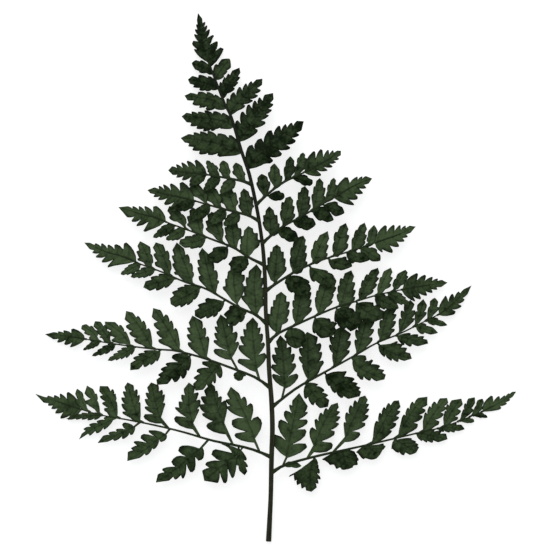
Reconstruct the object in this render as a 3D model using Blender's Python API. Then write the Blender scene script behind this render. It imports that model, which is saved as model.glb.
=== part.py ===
"""Leatherleaf fern frond, cut and lying face up on a table.

One brown stem (the stalk and the midrib of the frond) carries eleven green pinnae on its left, eleven on its
right and a lobed tip. The twelve lower pinnae are cut into leaflets along a rib; the others are lobed blades.
Plan sizes are millimetres in the frond's own layout: x to the right of the stem's cut end, y toward the tip,
z up from the table. The script turns them into metres at the end. Each piece is one closed solid.
"""

import math
import random

import bmesh
import bpy
from mathutils import Vector

METRES = 0.001
SEED = 11

# Driving sizes in millimetres
PLAN_CENTRE = (3.9, 185.3)
BLADE_THICKNESS = 0.7
LOWEST_LEAFLET = 1.5
ROOT_GAP = 0.32
RIB_END_ROOM = 0.4
LEAFLET_TO_STEM = 0.8
RIB_ROOT_RADIUS = 0.85
RIB_TIP_RADIUS = 0.42
RIB_END = 0.86
RIB_PIECES = 13
RIB_PIECE_GROWTH = 1.25
RIB_SIDES = 4
STEM_SIDES = 6
# Straight pieces between two points of each kind of line
STEM_STEPS = 2
RIB_STEPS = 4
LEAFLET_STEPS = 6
END_BLADE_STEPS = 12

# How the leaflets lie: those on the far side of a rib droop, those on the near side stay nearly level above
# the pinna before them
FAR_DROOP_BASE = 3.0
FAR_DROOP_PER_LENGTH = 0.2
NEAR_DROOP_PER_LENGTH = 0.07
LEAFLET_BOW = 0.05
BOW_VARIATION = 0.5
MARGIN_FALL = 0.12
FAR_LOBE_FALL = 0.3

# How the margins are cut
LOBES_START = 0.08
LOBES_END = 0.92
LOBE_SLANT = 0.6
NOTCH_SLANT = 0.25
LOBE_DEPTH_AT_BASE = 0.42
LOBE_DEPTH_AT_TIP = 0.25
WIDEST = 0.3
LEAFLET_ROOT_FULLNESS = 0.5
BLADE_ROOT_FULLNESS = 1.0
TAPER = 0.6
STALK_HALF_WIDTH = 0.55
LEAFLET_LOBE_LENGTH = 11.0
LEAFLET_LOBES = (2, 4)
BLADE_LOBE_LENGTH = 7.5
BLADE_LOBES = (3, 6)
LONGEST_SLANT = 0.8

# Stem: x, y, height of its middle, radius
STEM_LINE = (
    (-1.0, 0.0, 1.71, 1.95), (-0.1, 18.0, 4.2, 1.75), (0.6, 34.0, 6.5, 1.65), (1.1, 60.0, 10.4, 1.6),
    (1.7, 80.0, 12.1, 1.6), (1.0, 100.0, 13.1, 1.55), (-0.6, 120.0, 13.7, 1.5), (-1.4, 140.0, 14.1, 1.4),
    (-2.9, 160.0, 14.4, 1.35), (-3.2, 178.0, 14.6, 1.35), (-4.6, 202.0, 14.9, 1.35), (-6.9, 220.0, 15.1, 1.3),
    (-9.3, 234.0, 15.1, 1.3), (-14.4, 257.0, 14.9, 1.3), (-20.1, 274.0, 13.8, 1.2), (-27.0, 297.0, 11.4, 1.1),
    (-31.6, 306.5, 10.0, 1.0), (-38.5, 324.0, 7.2, 0.85), (-41.3, 331.5, 5.9, 0.7),
)

# Cut pinnae: a rib as points from its root on the stem to its tip, the height of its tip, the leaflets on its
# far side (toward the frond's tip) and near side, each as (where it leaves the rib in x, tip x, tip y,
# half width), then where the lobed end blade starts in x and its half widths on the far and near side
CUT_PINNAE = {
    "pinna_left_1": dict(
        rib=((0.9, 59.5), (-9, 63.8), (-20, 67), (-40, 71), (-60, 76.8), (-80, 81.6), (-100, 85.5),
             (-120, 89), (-140, 95), (-152, 99), (-165, 103.5)),
        tip_height=-0.9,
        far=((-9.3, -27.5, 108, 9.5), (-28, -41.5, 111, 8), (-51, -57, 111.5, 8), (-73, -83.5, 111.5, 7),
             (-90.5, -100, 111.5, 5.5), (-107, -119.5, 108.5, 4.5), (-119.5, -128.5, 109, 4),
             (-130, -135.5, 106.5, 3.2)),
        near=((-19, -43, 41.5, 13.5), (-43, -80, 41.5, 9.5), (-70, -100, 56.5, 8.5), (-91, -121, 68.5, 5.5),
              (-109, -134, 71.5, 4.5)),
        blade=(-120, 7.0, 8.5)),
    "pinna_right_1": dict(
        rib=((1.0, 48.5), (10.5, 54), (27, 58.7), (45, 62.9), (65, 67.2), (88, 72.5), (107, 77), (120, 79.9),
             (135, 85.2), (150, 91.5), (162, 97.5), (173, 105)),
        tip_height=-0.9,
        far=((11, 20.5, 104, 11), (27.5, 47.5, 97, 9), (46, 67, 102.3, 7.8), (70, 90.5, 98.8, 6.8),
             (89, 110.5, 101.5, 6.2), (105, 124, 100.5, 5.2), (121, 134.5, 99.8, 4.2), (133, 143.5, 100.5, 3.6)),
        near=((31, 24, 35.5, 10.5), (50.5, 52.5, 50.5, 9.5), (70, 75.5, 59, 6.5), (88.5, 102.5, 63, 5.8),
              (103, 124.5, 71.7, 4), (120, 136.5, 78.5, 3.2)),
        blade=(131, 5.5, 4.5)),
    "pinna_left_2": dict(
        rib=((0.1, 108.2), (-10, 115.3), (-25, 121.2), (-45, 128.4), (-65, 133.8), (-80, 135), (-100, 137.4),
             (-120, 140.4), (-140, 143.7), (-158, 145.3)),
        tip_height=2.0,
        far=((-9.2, -11.5, 157, 8.2), (-24.5, -35, 159.3, 8), (-43.5, -54.5, 158, 7), (-62.5, -82, 163.7, 6.5),
             (-82, -101, 161.5, 5.5), (-97.5, -116, 154, 4.5), (-112, -122.3, 154.3, 3.5),
             (-121, -132, 151.8, 3.2)),
        near=((-17, -23, 112.5, 3.2), (-34.5, -52, 106, 7.5), (-55, -79, 110, 7), (-76, -97.8, 120.2, 5),
              (-94, -113.7, 127, 3.8), (-109, -124.7, 130.2, 3.2)),
        blade=(-122, 5.0, 6.0)),
    "pinna_right_2": dict(
        rib=((1.2, 94.5), (8, 100), (20, 108.8), (40, 120), (60, 131), (75, 139.6), (90, 145.4), (105, 152.8),
             (120, 160.3), (130, 168.3), (141.5, 179.6)),
        tip_height=2.0,
        far=((10, 7.5, 144, 8.2), (26.7, 25.5, 147, 7.5), (44.9, 49, 150, 7.5), (60.8, 68.5, 155, 6.5),
             (77.2, 84, 164, 6), (90.4, 98.4, 169.2, 5), (101.9, 107.4, 169.8, 4), (110.5, 115.4, 170.5, 3.5)),
        near=((25, 40, 95, 8.5), (38, 63, 101.5, 10), (57, 80, 114, 9), (75, 99.1, 128.5, 7.5),
              (87.8, 110.6, 138.9, 4.5), (101.5, 117.6, 146.2, 3.4), (109, 124.3, 151.5, 3.2)),
        blade=(109, 6.5, 5.0)),
    "pinna_left_3": dict(
        rib=((-2.5, 153), (-10, 159.2), (-20, 163.4), (-30, 168.9), (-45, 177.4), (-60, 182.2), (-75, 188.8),
             (-90, 194.3), (-102.6, 199.8), (-115, 203.2), (-130.3, 209.6)),
        tip_height=4.5,
        far=((-9.5, -9.8, 194.3, 6.5), (-23, -21, 197, 7), (-38.7, -47.6, 205.8, 6.5), (-54.8, -65.4, 209.6, 6.2),
             (-70.2, -80.1, 209.6, 5.5), (-83.1, -91.1, 210.4, 4.6), (-94.1, -100.5, 208.5, 3.8)),
        near=((-17, -28, 151.5, 6.5), (-31, -52.5, 158, 6.5), (-48, -69.4, 165.9, 7.5), (-65.3, -88.6, 178.2, 5),
              (-80, -97.5, 185.6, 3.8), (-90.3, -104.3, 187.5, 3.8)),
        blade=(-92, 6.5, 7.5)),
    "pinna_right_3": dict(
        rib=((-1.4, 139.5), (4.9, 145.6), (15, 150.7), (30, 157.5), (45, 163.9), (60, 168.5), (75, 172.9),
             (90, 176.2), (105, 178.9), (124.5, 181.5)),
        tip_height=4.5,
        far=((5, 7.6, 174.9, 6.3), (18, 23.5, 184, 6.5), (33.7, 41, 186, 6.3), (48.5, 57, 189.7, 5.8),
             (62.5, 75.5, 191.7, 5.5), (75.6, 84.7, 192, 4.5), (86.8, 95.1, 190.5, 3.8)),
        near=((14.5, 19, 135.8, 6.5), (31, 43, 145, 7), (46, 60.5, 149.5, 7), (61, 77.5, 156.5, 6),
              (73, 88, 163.5, 5), (82, 96, 166.5, 4)),
        blade=(87, 7.5, 7.5)),
    "pinna_left_4": dict(
        rib=((-4.1, 194), (-14.7, 199.1), (-25, 205.8), (-40, 211.6), (-54.8, 217.4), (-70, 222.9), (-80, 227.1),
             (-90, 229.5), (-106.2, 234.4)),
        tip_height=7.0,
        far=((-16, -15, 221, 5.5), (-24.4, -27.5, 226, 5.2), (-33.5, -41, 231, 5), (-47.5, -54, 234, 4.8),
             (-59.1, -70.5, 235, 4.6), (-69, -79.1, 234.7, 3.6)),
        near=((-16.5, -25, 190, 5.5), (-29, -43, 197, 5.5), (-44.2, -63, 208.5, 5), (-59, -72.5, 211.9, 4.2),
              (-67, -81.6, 213.4, 3.5)),
        blade=(-69, 5.0, 7.5)),
    "pinna_right_4": dict(
        rib=((-3.2, 175.5), (1.9, 179.3), (10, 184.6), (20, 190.5), (35, 197), (50, 201.7), (65, 206.4),
             (80, 211.7), (90, 215.2), (102.1, 220.8)),
        tip_height=7.0,
        far=((3.5, 4.8, 207.9, 6), (15.1, 23.1, 213.8, 5.8), (30, 40.5, 217.3, 5.3), (44.3, 53.2, 223.2, 5.2),
             (57.3, 66.4, 223.5, 4.6), (67.6, 73.5, 221.7, 3.4)),
        near=((14, 23, 173, 6.5), (27, 45, 177.5, 7), (40, 57, 192.7, 5), (53, 68.5, 198, 4.3),
              (63, 76.7, 197, 4.6)),
        blade=(67, 7.0, 7.5)),
    "pinna_left_5": dict(
        rib=((-7.5, 224.5), (-14.7, 228.3), (-25, 231.1), (-40, 235), (-54.8, 239.3), (-70, 242.9),
             (-85.8, 246.3)),
        tip_height=9.5,
        far=((-14.1, -18.4, 247.2, 4.6), (-24.4, -31, 249, 4.6), (-34.8, -43.9, 249.6, 4.4),
             (-44.5, -54.8, 250.8, 4.2)),
        near=((-21, -32, 222, 4.6), (-30.5, -42, 222.5, 4.6), (-41.5, -55.5, 225.5, 4.4),
              (-52, -69.4, 232.2, 3.6)),
        blade=(-50, 7.0, 6.5)),
    "pinna_right_5": dict(
        rib=((-5.5, 208.8), (0, 213.8), (10, 221.3), (20, 226.6), (35, 235.4), (50, 244.3), (60, 250),
             (71.5, 254.4)),
        tip_height=9.5,
        far=((0.8, -0.6, 234.5, 5.6), (9.2, 14.2, 241.6, 4.5), (20, 24.4, 248.9, 4.4), (30.2, 34.8, 254.4, 4.2),
             (38, 44.8, 254.7, 3.4)),
        near=((5, 19.5, 211.5, 4.6), (15.5, 31.9, 222.2, 4.5), (28.5, 44.3, 225.3, 4.5), (36.5, 51.8, 230.1, 4)),
        blade=(38, 6.5, 8.0)),
    "pinna_left_6": dict(
        rib=((-13, 250.3), (-20, 252.6), (-30, 254.5), (-40, 256.3), (-50, 257.8), (-60, 258.7), (-71.2, 260)),
        tip_height=11.0,
        far=((-18.1, -23.9, 265.1, 3.9), (-28.7, -32.9, 266.6, 3.8)),
        near=((-24, -34.5, 244.5, 4.4), (-34.5, -46, 246, 4.2), (-45, -56, 249.5, 3.6)),
        blade=(-33.5, 7.5, 5.0)),
    "pinna_right_6": dict(
        rib=((-9.8, 235.8), (0, 244.7), (10, 251.8), (20, 256.6), (30, 261.9), (40, 267.2), (49.6, 273.7)),
        tip_height=11.0,
        far=((-4, -5.9, 257.2, 4.2), (3.5, 3, 264.6, 4.5), (10.7, 14.2, 269.7, 4), (17, 23.1, 272.3, 3.4)),
        near=((-2.5, 10, 241.2, 3.6), (15.5, 28.5, 250, 3.6)),
        blade=(15.5, 7.0, 6.5)),
}

# Lobed pinnae near the tip: midrib points from the stem to the tip, height of the tip, half widths on the far
# and near side, lobes on each side
LOBED_PINNAE = {
    "pinna_right_7": (((-15.2, 260.3), (-10, 268.3), (0, 276.5), (10, 283.2), (23.6, 294.3)), 12.0, 10.5, 10.0, 6),
    "pinna_left_7": (((-19.2, 271.5), (-30, 277.1), (-50, 281.2), (-62.5, 282.7)), 10.5, 8.8, 9.6, 6),
    "pinna_right_8": (((-21.7, 279.5), (-18, 285), (-10, 296.6), (-5, 303.4), (2.2, 314.2)), 10.0, 10.0, 8.0, 6),
    "pinna_left_8": (((-24.9, 290.2), (-32, 294.3), (-45, 296.4), (-61.9, 297.9)), 8.5, 6.8, 8.8, 6),
    "pinna_right_9": (((-27.6, 298.3), (-24.6, 304.4), (-15, 315.2), (-5.3, 324.4)), 7.5, 7.8, 7.0, 5),
    "pinna_left_9": (((-30.1, 303.4), (-40, 309), (-50, 311.1), (-59.9, 312.6)), 6.5, 5.8, 7.8, 5),
    "pinna_right_10": (((-33.2, 310.5), (-28.7, 320.1), (-21.4, 332.3)), 5.0, 5.4, 5.0, 4),
    "pinna_left_10": (((-35.9, 317.5), (-45.1, 321.1), (-57.5, 323.9)), 4.5, 5.4, 5.6, 4),
    "pinna_right_11": (((-38.3, 323.6), (-34, 331), (-28.5, 338)), 4.0, 4.6, 4.2, 3),
    "pinna_left_11": (((-40.0, 327.8), (-46.5, 331.0), (-54.9, 335.0)), 2.0, 3.0, 4.8, 3),
}
TIP_BLADE = (((-41.45, 332.2), (-44.1, 338.6), (-46.6, 346), (-47.6, 352), (-49.1, 361), (-50.6, 370.7)), -0.9,
             12.0, 8.0, 6)

LEAF_COLOUR = (0.05, 0.105, 0.045, 1.0)
STEM_COLOUR = (0.055, 0.045, 0.025, 1.0)


def clear_scene():
    for item in list(bpy.data.objects):
        bpy.data.objects.remove(item, do_unlink=True)


def material(name, colour, roughness):
    made = bpy.data.materials.new(name)
    made.use_nodes = True
    shader = made.node_tree.nodes["Principled BSDF"]
    shader.inputs["Base Color"].default_value = colour
    shader.inputs["Roughness"].default_value = roughness
    made.diffuse_color = colour
    return made


def mix(a, b, share):
    return a + (b - a) * share


def within(limits, value):
    return max(limits[0], min(limits[1], value))


def smooth_line(points, steps):
    """Reads a smooth curve through the points, with `steps` pieces between each pair."""
    knots = [Vector(point) for point in points]
    knots = [2 * knots[0] - knots[1]] + knots + [2 * knots[-1] - knots[-2]]
    line = []
    for index in range(1, len(knots) - 2):
        before, start, end, after = knots[index - 1:index + 3]
        for step in range(steps):
            t = step / steps
            line.append(0.5 * (2 * start + (end - before) * t + (2 * before - 5 * start + 4 * end - after) * t ** 2
                               + (3 * start - before - 3 * end + after) * t ** 3))
    line.append(knots[-2])
    return line


def lengths_along(line):
    runs = [0.0]
    for a, b in zip(line, line[1:]):
        runs.append(runs[-1] + (b - a).length)
    return runs


def point_at(line, share):
    """The point at a share of the line's length, and the direction there."""
    runs = lengths_along(line)
    target = min(max(share, 0.0), 1.0) * runs[-1]
    index = 0
    while index < len(line) - 2 and runs[index + 1] < target:
        index += 1
    part = (target - runs[index]) / max(runs[index + 1] - runs[index], 1e-9)
    return line[index].lerp(line[index + 1], part), (line[index + 1] - line[index]).normalized()


def share_at_x(line, x):
    runs = lengths_along(line)
    for index, (a, b) in enumerate(zip(line, line[1:])):
        if min(a.x, b.x) <= x <= max(a.x, b.x) and a.x != b.x:
            return (runs[index] + (x - a.x) / (b.x - a.x) * (runs[index + 1] - runs[index])) / runs[-1]
    return 0.0


STEM = smooth_line([row[:3] for row in STEM_LINE], STEM_STEPS)
STEM_RADII = [row.x for row in smooth_line([(row[3], 0.0, 0.0) for row in STEM_LINE], STEM_STEPS)]


def stem_at(x, y):
    """The nearest point of the stem's middle line in plan, and the stem's radius there."""
    best = None
    for index, (a, b) in enumerate(zip(STEM, STEM[1:])):
        run = Vector((b.x - a.x, b.y - a.y))
        share = min(max(((x - a.x) * run.x + (y - a.y) * run.y) / run.length_squared, 0.0), 1.0)
        point = a.lerp(b, share)
        away = math.hypot(x - point.x, y - point.y)
        if best is None or away < best[0]:
            best = (away, point, mix(STEM_RADII[index], STEM_RADII[index + 1], share))
    return best


def clear_of_stem(point, side, room):
    """Moves a plan point sideways until it lies clear of the stem."""
    away, middle, radius = stem_at(point.x, point.y)
    inside = (point.x - middle.x) * side < 0.0
    if away < radius + room or inside:
        point.x = middle.x + side * (radius + room)
    return point


def tube(points, radii, sides, turn=0.0):
    """A closed tube with flat ends through the points, as vertices and faces."""
    vertices, faces = [], []
    for index, point in enumerate(points):
        ahead = points[min(index + 1, len(points) - 1)]
        behind = points[max(index - 1, 0)]
        along = (ahead - behind).normalized()
        across = along.cross(Vector((0, 0, 1))).normalized()
        upward = across.cross(along)
        for corner in range(sides):
            angle = turn + 2 * math.pi * corner / sides
            vertices.append(point + radii[index] * (math.cos(angle) * across + math.sin(angle) * upward))
    for ring in range(len(points) - 1):
        for corner in range(sides):
            a = ring * sides + corner
            b = ring * sides + (corner + 1) % sides
            faces.append((a, b, b + sides, a + sides))
    faces.append(tuple(reversed(range(sides))))
    faces.append(tuple(range((len(points) - 1) * sides, len(points) * sides)))
    return vertices, faces


def blade(line, left_width, right_width, lobes, height, left_fall, right_fall, fullness, stem_side=0):
    """A thin lobed blade along a line in plan, as vertices and faces.

    height(share) gives the midrib's height. The margins lie lower than the midrib by their fall for each
    millimetre of width. Each lobe has a point that slants forward and a notch after it. With a stem_side of
    1 or -1 the blade stays on that side of the stem.
    """
    shares = [0.0]
    for lobe in range(lobes):
        point_share = LOBES_START + (LOBES_END - LOBES_START) * (lobe + 0.5) / lobes
        shares += [point_share, point_share + 0.5 * (LOBES_END - LOBES_START) / lobes]
    shares.append(1.0)
    length = lengths_along(line)[-1]
    middle, left, right = [], [], []
    for index, share in enumerate(shares):
        centre, along = point_at(line, share)
        across = Vector((-along.y, along.x, 0.0))
        swell = mix(fullness, 1.0, min(share / WIDEST, 1.0))
        outline = swell * (1.0 - max(share - WIDEST, 0.0) / (1.0 - WIDEST)) ** TAPER
        is_notch = index > 0 and index % 2 == 0
        keep = 1.0 - mix(LOBE_DEPTH_AT_BASE, LOBE_DEPTH_AT_TIP, share) if is_notch else 1.0
        z = height(share)
        for rim, width, turn, fall in ((left, left_width, 1, left_fall), (right, right_width, -1, right_fall)):
            reach = max(width * outline * keep, STALK_HALF_WIDTH)
            if index == 0:
                reach = STALK_HALF_WIDTH
            forward = 0.0 if index == 0 else (NOTCH_SLANT if is_notch else LOBE_SLANT) * reach
            forward = min(forward, LONGEST_SLANT * length * (1.0 - share))
            point = Vector((centre.x, centre.y, 0.0)) + turn * reach * across + forward * along
            if stem_side:
                point = clear_of_stem(point, stem_side, LEAFLET_TO_STEM)
            point.z = z - fall * (reach - STALK_HALF_WIDTH)
            rim.append(point)
        middle.append(Vector((centre.x, centre.y, z)))
    return stitched(middle, left, right)


def stitched(middle, left, right):
    """Joins a midrib and two rims into a closed thin blade, split alike on both faces.

    The midrib has a point at the root, at each pair of notches and at the tip. A lobe is three triangles on
    each side of it, all drawn from its forward notch.
    """
    lowest = 0.5 * BLADE_THICKNESS
    half = Vector((0.0, 0.0, lowest))
    last = len(middle) - 1
    rows = []
    for index in range(last):
        rows += [left[index], middle[index], right[index]]
    rows.append(middle[last])
    for point in rows:
        point.z = max(point.z, lowest)
    upper = []
    for notch in range(2, last, 2):
        a, m, b = 3 * (notch - 2), 3 * (notch - 2) + 1, 3 * (notch - 2) + 2
        left_point, right_point = a + 3, b + 3
        c, n, d = a + 6, m + 6, b + 6
        upper += [(c, m, n), (c, a, m), (c, left_point, a), (d, n, m), (d, m, b), (d, b, right_point)]
    a, m, b, tip = 3 * (last - 1), 3 * (last - 1) + 1, 3 * (last - 1) + 2, 3 * last
    upper += [(a, m, tip), (m, b, tip)]
    used = sorted({corner for face in upper for corner in face})
    order = {corner: place for place, corner in enumerate(used)}
    upper = [tuple(order[corner] for corner in face) for face in upper]
    top = [rows[corner] + half for corner in used]
    bottom = [rows[corner] - half for corner in used]
    size = len(used)
    faces = list(upper)
    faces += [tuple(size + corner for corner in reversed(face)) for face in upper]
    edges = [edge for face in upper for edge in zip(face, face[1:] + face[:1])]
    inner = set(edges)
    for start, end in edges:
        if (end, start) not in inner:
            faces.append((start, start + size, end + size))
            faces.append((start, end + size, end))
    return top + bottom, faces


def solid_object(name, vertices, faces, look):
    mesh = bpy.data.meshes.new(name)
    mesh.from_pydata([tuple(vertex) for vertex in vertices], [], faces)
    work = bmesh.new()
    work.from_mesh(mesh)
    bmesh.ops.remove_doubles(work, verts=work.verts, dist=1e-5)
    bmesh.ops.recalc_face_normals(work, faces=work.faces)
    work.to_mesh(mesh)
    work.free()
    mesh.materials.append(look)
    made = bpy.data.objects.new(name, mesh)
    bpy.context.collection.objects.link(made)
    return made


def join_pieces(name, pieces, look):
    """Fuses a pinna's pieces into one solid with one Boolean union on a collection."""
    objects = [solid_object(f"{name}_piece", vertices, faces, look) for vertices, faces in pieces]
    base, others = objects[0], objects[1:]
    group = bpy.data.collections.new(f"{name}_pieces")
    for item in others:
        group.objects.link(item)
    union = base.modifiers.new("union", "BOOLEAN")
    union.operation = "UNION"
    union.operand_type = "COLLECTION"
    union.collection = group
    union.solver = "EXACT"
    union.use_self = True
    bpy.context.view_layer.objects.active = base
    base.select_set(True)
    bpy.ops.object.modifier_apply(modifier=union.name)
    base.select_set(False)
    for item in others:
        bpy.data.objects.remove(item, do_unlink=True)
    bpy.data.collections.remove(group)
    base.name = name
    return base


def build_stem(look):
    vertices, faces = tube(STEM, STEM_RADII, STEM_SIDES)
    return solid_object("stem", vertices, faces, look)


def rooted_line(points, end_room):
    """A pinna's rib in plan, smoothed, starting just clear of the stem, with the stem's height at its root."""
    line = smooth_line([(x, y, 0.0) for x, y in points], RIB_STEPS)
    _, middle, radius = stem_at(line[0].x, line[0].y)
    reach = radius + ROOT_GAP + end_room
    kept = [point for point in line if stem_at(point.x, point.y)[0] > 2 * reach]
    inner, outer = 0.0, 1.0
    for _ in range(20):
        half_way = 0.5 * (inner + outer)
        start = line[0].lerp(kept[0], half_way)
        if stem_at(start.x, start.y)[0] < reach:
            inner = half_way
        else:
            outer = half_way
    return [start] + kept, middle.z


def by_hand(side, far_width, near_width):
    """Widths and falls as (left, right), seen from the stem. The far side lies left on a pinna on the right."""
    if side > 0:
        return (far_width, near_width), (FAR_LOBE_FALL, MARGIN_FALL)
    return (near_width, far_width), (MARGIN_FALL, FAR_LOBE_FALL)


def leaflet_pieces(line, rows, side, is_far, height_on_rib, chance):
    """The leaflets on the far or the near side of a rib."""
    pieces = []
    for x_base, x_tip, y_tip, half_width in rows:
        share = share_at_x(line, x_base)
        base, _ = point_at(line, share)
        tip = Vector((x_tip, y_tip, 0.0))
        chord = tip - base
        outward = Vector((-chord.y, chord.x, 0.0))
        if outward.x * side < 0:
            outward = -outward
        bow = LEAFLET_BOW * (1.0 + BOW_VARIATION * (chance.random() - 0.5))
        middle = base + 0.5 * chord + bow * outward
        path = smooth_line([base, middle, tip], LEAFLET_STEPS)
        length = chord.length
        base_height = height_on_rib(share)
        droop = FAR_DROOP_BASE + FAR_DROOP_PER_LENGTH * length if is_far else NEAR_DROOP_PER_LENGTH * length
        droop = max(min(droop, base_height - LOWEST_LEAFLET), 0.0)

        def height(part, top=base_height, fall=droop):
            return top - fall * (0.5 * part + 0.5 * part * part)

        lobes = within(LEAFLET_LOBES, round(length / LEAFLET_LOBE_LENGTH))
        pieces.append(blade(path, half_width, half_width, lobes, height, MARGIN_FALL, MARGIN_FALL,
                            LEAFLET_ROOT_FULLNESS, side))
    return pieces


def build_cut_pinna(name, plan, look, chance):
    line, root_height = rooted_line(plan["rib"], RIB_END_ROOM)
    side = 1 if line[-1].x > line[0].x else -1

    def height_on_rib(share):
        return root_height - (root_height - plan["tip_height"]) * share * share

    line = [point_at(line, (index / RIB_PIECES) ** RIB_PIECE_GROWTH)[0] for index in range(RIB_PIECES + 1)]
    runs = lengths_along(line)
    stations, radii = [], []
    for point, run in zip(line, runs):
        share = run / runs[-1]
        if share <= RIB_END:
            stations.append(Vector((point.x, point.y, height_on_rib(share))))
            radii.append(mix(RIB_ROOT_RADIUS, RIB_TIP_RADIUS, share / RIB_END))
    pieces = [tube(stations, radii, RIB_SIDES, turn=math.pi / RIB_SIDES)]
    pieces += leaflet_pieces(line, plan["far"], side, True, height_on_rib, chance)
    pieces += leaflet_pieces(line, plan["near"], side, False, height_on_rib, chance)

    start_x, far_width, near_width = plan["blade"]
    start = share_at_x(line, start_x)
    end_line = [point_at(line, mix(start, 1.0, step / END_BLADE_STEPS))[0] for step in range(END_BLADE_STEPS + 1)]

    def end_height(share):
        return height_on_rib(mix(start, 1.0, share))

    widths, falls = by_hand(side, far_width, near_width)
    lobes = within(BLADE_LOBES, round(lengths_along(end_line)[-1] / BLADE_LOBE_LENGTH))
    pieces.append(blade(end_line, widths[0], widths[1], lobes, end_height, falls[0], falls[1],
                        BLADE_ROOT_FULLNESS))
    return join_pieces(name, pieces, look)


def build_lobed_pinna(name, plan, look, rooted=True):
    points, tip_height, far_width, near_width, lobes = plan
    if rooted:
        line, root_height = rooted_line(points, 0.0)
    else:
        line = smooth_line([(x, y, 0.0) for x, y in points], RIB_STEPS)
        root_height = STEM_LINE[-1][2]
    side = 1 if line[-1].x > line[0].x else -1

    def height(share):
        return root_height - (root_height - tip_height) * share * share

    widths, falls = by_hand(side, far_width, near_width)
    vertices, faces = blade(line, widths[0], widths[1], lobes, height, falls[0], falls[1],
                            BLADE_ROOT_FULLNESS, side if rooted else 0)
    return solid_object(name, vertices, faces, look)


def to_metres():
    """Moves the frond's middle over the origin and turns millimetres into metres."""
    for item in bpy.data.objects:
        for vertex in item.data.vertices:
            x, y, z = vertex.co
            vertex.co = ((x - PLAN_CENTRE[0]) * METRES, (y - PLAN_CENTRE[1]) * METRES, z * METRES)
        item.data.update()


def build():
    clear_scene()
    chance = random.Random(SEED)
    leaf = material("leaf_green", LEAF_COLOUR, 0.5)
    bark = material("stem_brown", STEM_COLOUR, 0.6)
    build_stem(bark)
    for name, plan in CUT_PINNAE.items():
        build_cut_pinna(name, plan, leaf, chance)
    for name, plan in LOBED_PINNAE.items():
        build_lobed_pinna(name, plan, leaf)
    build_lobed_pinna("tip", TIP_BLADE, leaf, rooted=False)
    to_metres()


build()
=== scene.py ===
"""Leatherleaf fern frond, cut and lying face up on a white table, seen from straight above.

Plan places are millimetres in the frond's own layout, as in the solids: x to the right of the stem's cut end,
y toward the frond's tip, z up from the table. placed() turns them into the frame's metres, in which the
table, the lamp and the stem's change of colour are given.
"""

import math
import random

import bmesh
import bpy
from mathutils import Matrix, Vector


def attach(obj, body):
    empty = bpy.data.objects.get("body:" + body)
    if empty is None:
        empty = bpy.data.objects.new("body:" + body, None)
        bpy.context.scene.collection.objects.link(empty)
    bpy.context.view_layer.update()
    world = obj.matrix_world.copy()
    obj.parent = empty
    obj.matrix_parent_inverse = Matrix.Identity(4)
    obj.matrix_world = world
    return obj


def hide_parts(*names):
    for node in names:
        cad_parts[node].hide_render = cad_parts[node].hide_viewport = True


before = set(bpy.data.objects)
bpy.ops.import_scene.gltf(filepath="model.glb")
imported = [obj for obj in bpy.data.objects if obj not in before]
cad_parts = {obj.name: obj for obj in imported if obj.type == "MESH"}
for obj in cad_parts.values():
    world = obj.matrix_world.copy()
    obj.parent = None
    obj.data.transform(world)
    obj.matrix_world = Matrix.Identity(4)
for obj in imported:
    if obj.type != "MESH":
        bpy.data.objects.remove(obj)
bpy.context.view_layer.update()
chance = random.Random(5)

# Table, light and camera
# The frond lies on a white table under a wide soft lamp beyond its tip, and the camera looks straight down on
# it from far enough away that near and far parts keep their size.
MM = 0.001
PLAN_CENTRE = (3.9, 185.3)
PHOTO_CENTRE = (3.5, 186.9)
PHOTO_WIDTH = 385.0
LEAF_HEIGHT = 8.0
LENS = 200.0
SENSOR = 36.0
TABLE_SIZE = 8.0
TABLE_DROP = 0.0003
TABLE_COLOUR = (0.5, 0.5, 0.5)
TABLE_GLOW = 0.72
LAMP_PLACE = (-0.25, 1.15, 1.25)
LAMP_SIZE = 1.7
LAMP_POWER = 14.0
ROOM_COLOUR = (0.96, 0.98, 1.0)
ROOM_LIGHT = 0.5


def placed(x, y, z):
    return Vector(((x - PLAN_CENTRE[0]) * MM, (y - PLAN_CENTRE[1]) * MM, z * MM))


def deselect():
    for item in bpy.context.selected_objects:
        item.select_set(False)


def new_material(name, colour, roughness, specular):
    made = bpy.data.materials.new(name)
    made.use_nodes = True
    made.diffuse_color = (*colour, 1.0)
    shader = made.node_tree.nodes["Principled BSDF"]
    shader.inputs["Base Color"].default_value = (*colour, 1.0)
    shader.inputs["Roughness"].default_value = roughness
    shader.inputs["Specular IOR Level"].default_value = specular
    return made, made.node_tree.nodes, made.node_tree.links, shader


deselect()
bpy.ops.mesh.primitive_plane_add(size=TABLE_SIZE, location=(0.0, 0.0, -TABLE_DROP))
table = bpy.context.object
table.name = "table"
table_white, _, _, shader = new_material("table_white", TABLE_COLOUR, roughness=0.9, specular=0.1)
shader.inputs["Emission Color"].default_value = (1.0, 1.0, 1.0, 1.0)
shader.inputs["Emission Strength"].default_value = TABLE_GLOW
table.data.materials.append(table_white)

camera_data = bpy.data.cameras.new("camera")
camera_data.lens = LENS
camera_data.sensor_width = SENSOR
camera = bpy.data.objects.new("camera", camera_data)
bpy.context.collection.objects.link(camera)
camera.location = placed(*PHOTO_CENTRE, PHOTO_WIDTH * LENS / SENSOR + LEAF_HEIGHT)
bpy.context.scene.camera = camera

lamp_data = bpy.data.lights.new("soft_lamp", "AREA")
lamp_data.shape = "DISK"
lamp_data.size = LAMP_SIZE
lamp_data.energy = LAMP_POWER
lamp = bpy.data.objects.new("soft_lamp", lamp_data)
bpy.context.collection.objects.link(lamp)
lamp.location = LAMP_PLACE
lamp.rotation_euler = Vector(lamp.location).to_track_quat("Z", "Y").to_euler()

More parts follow.
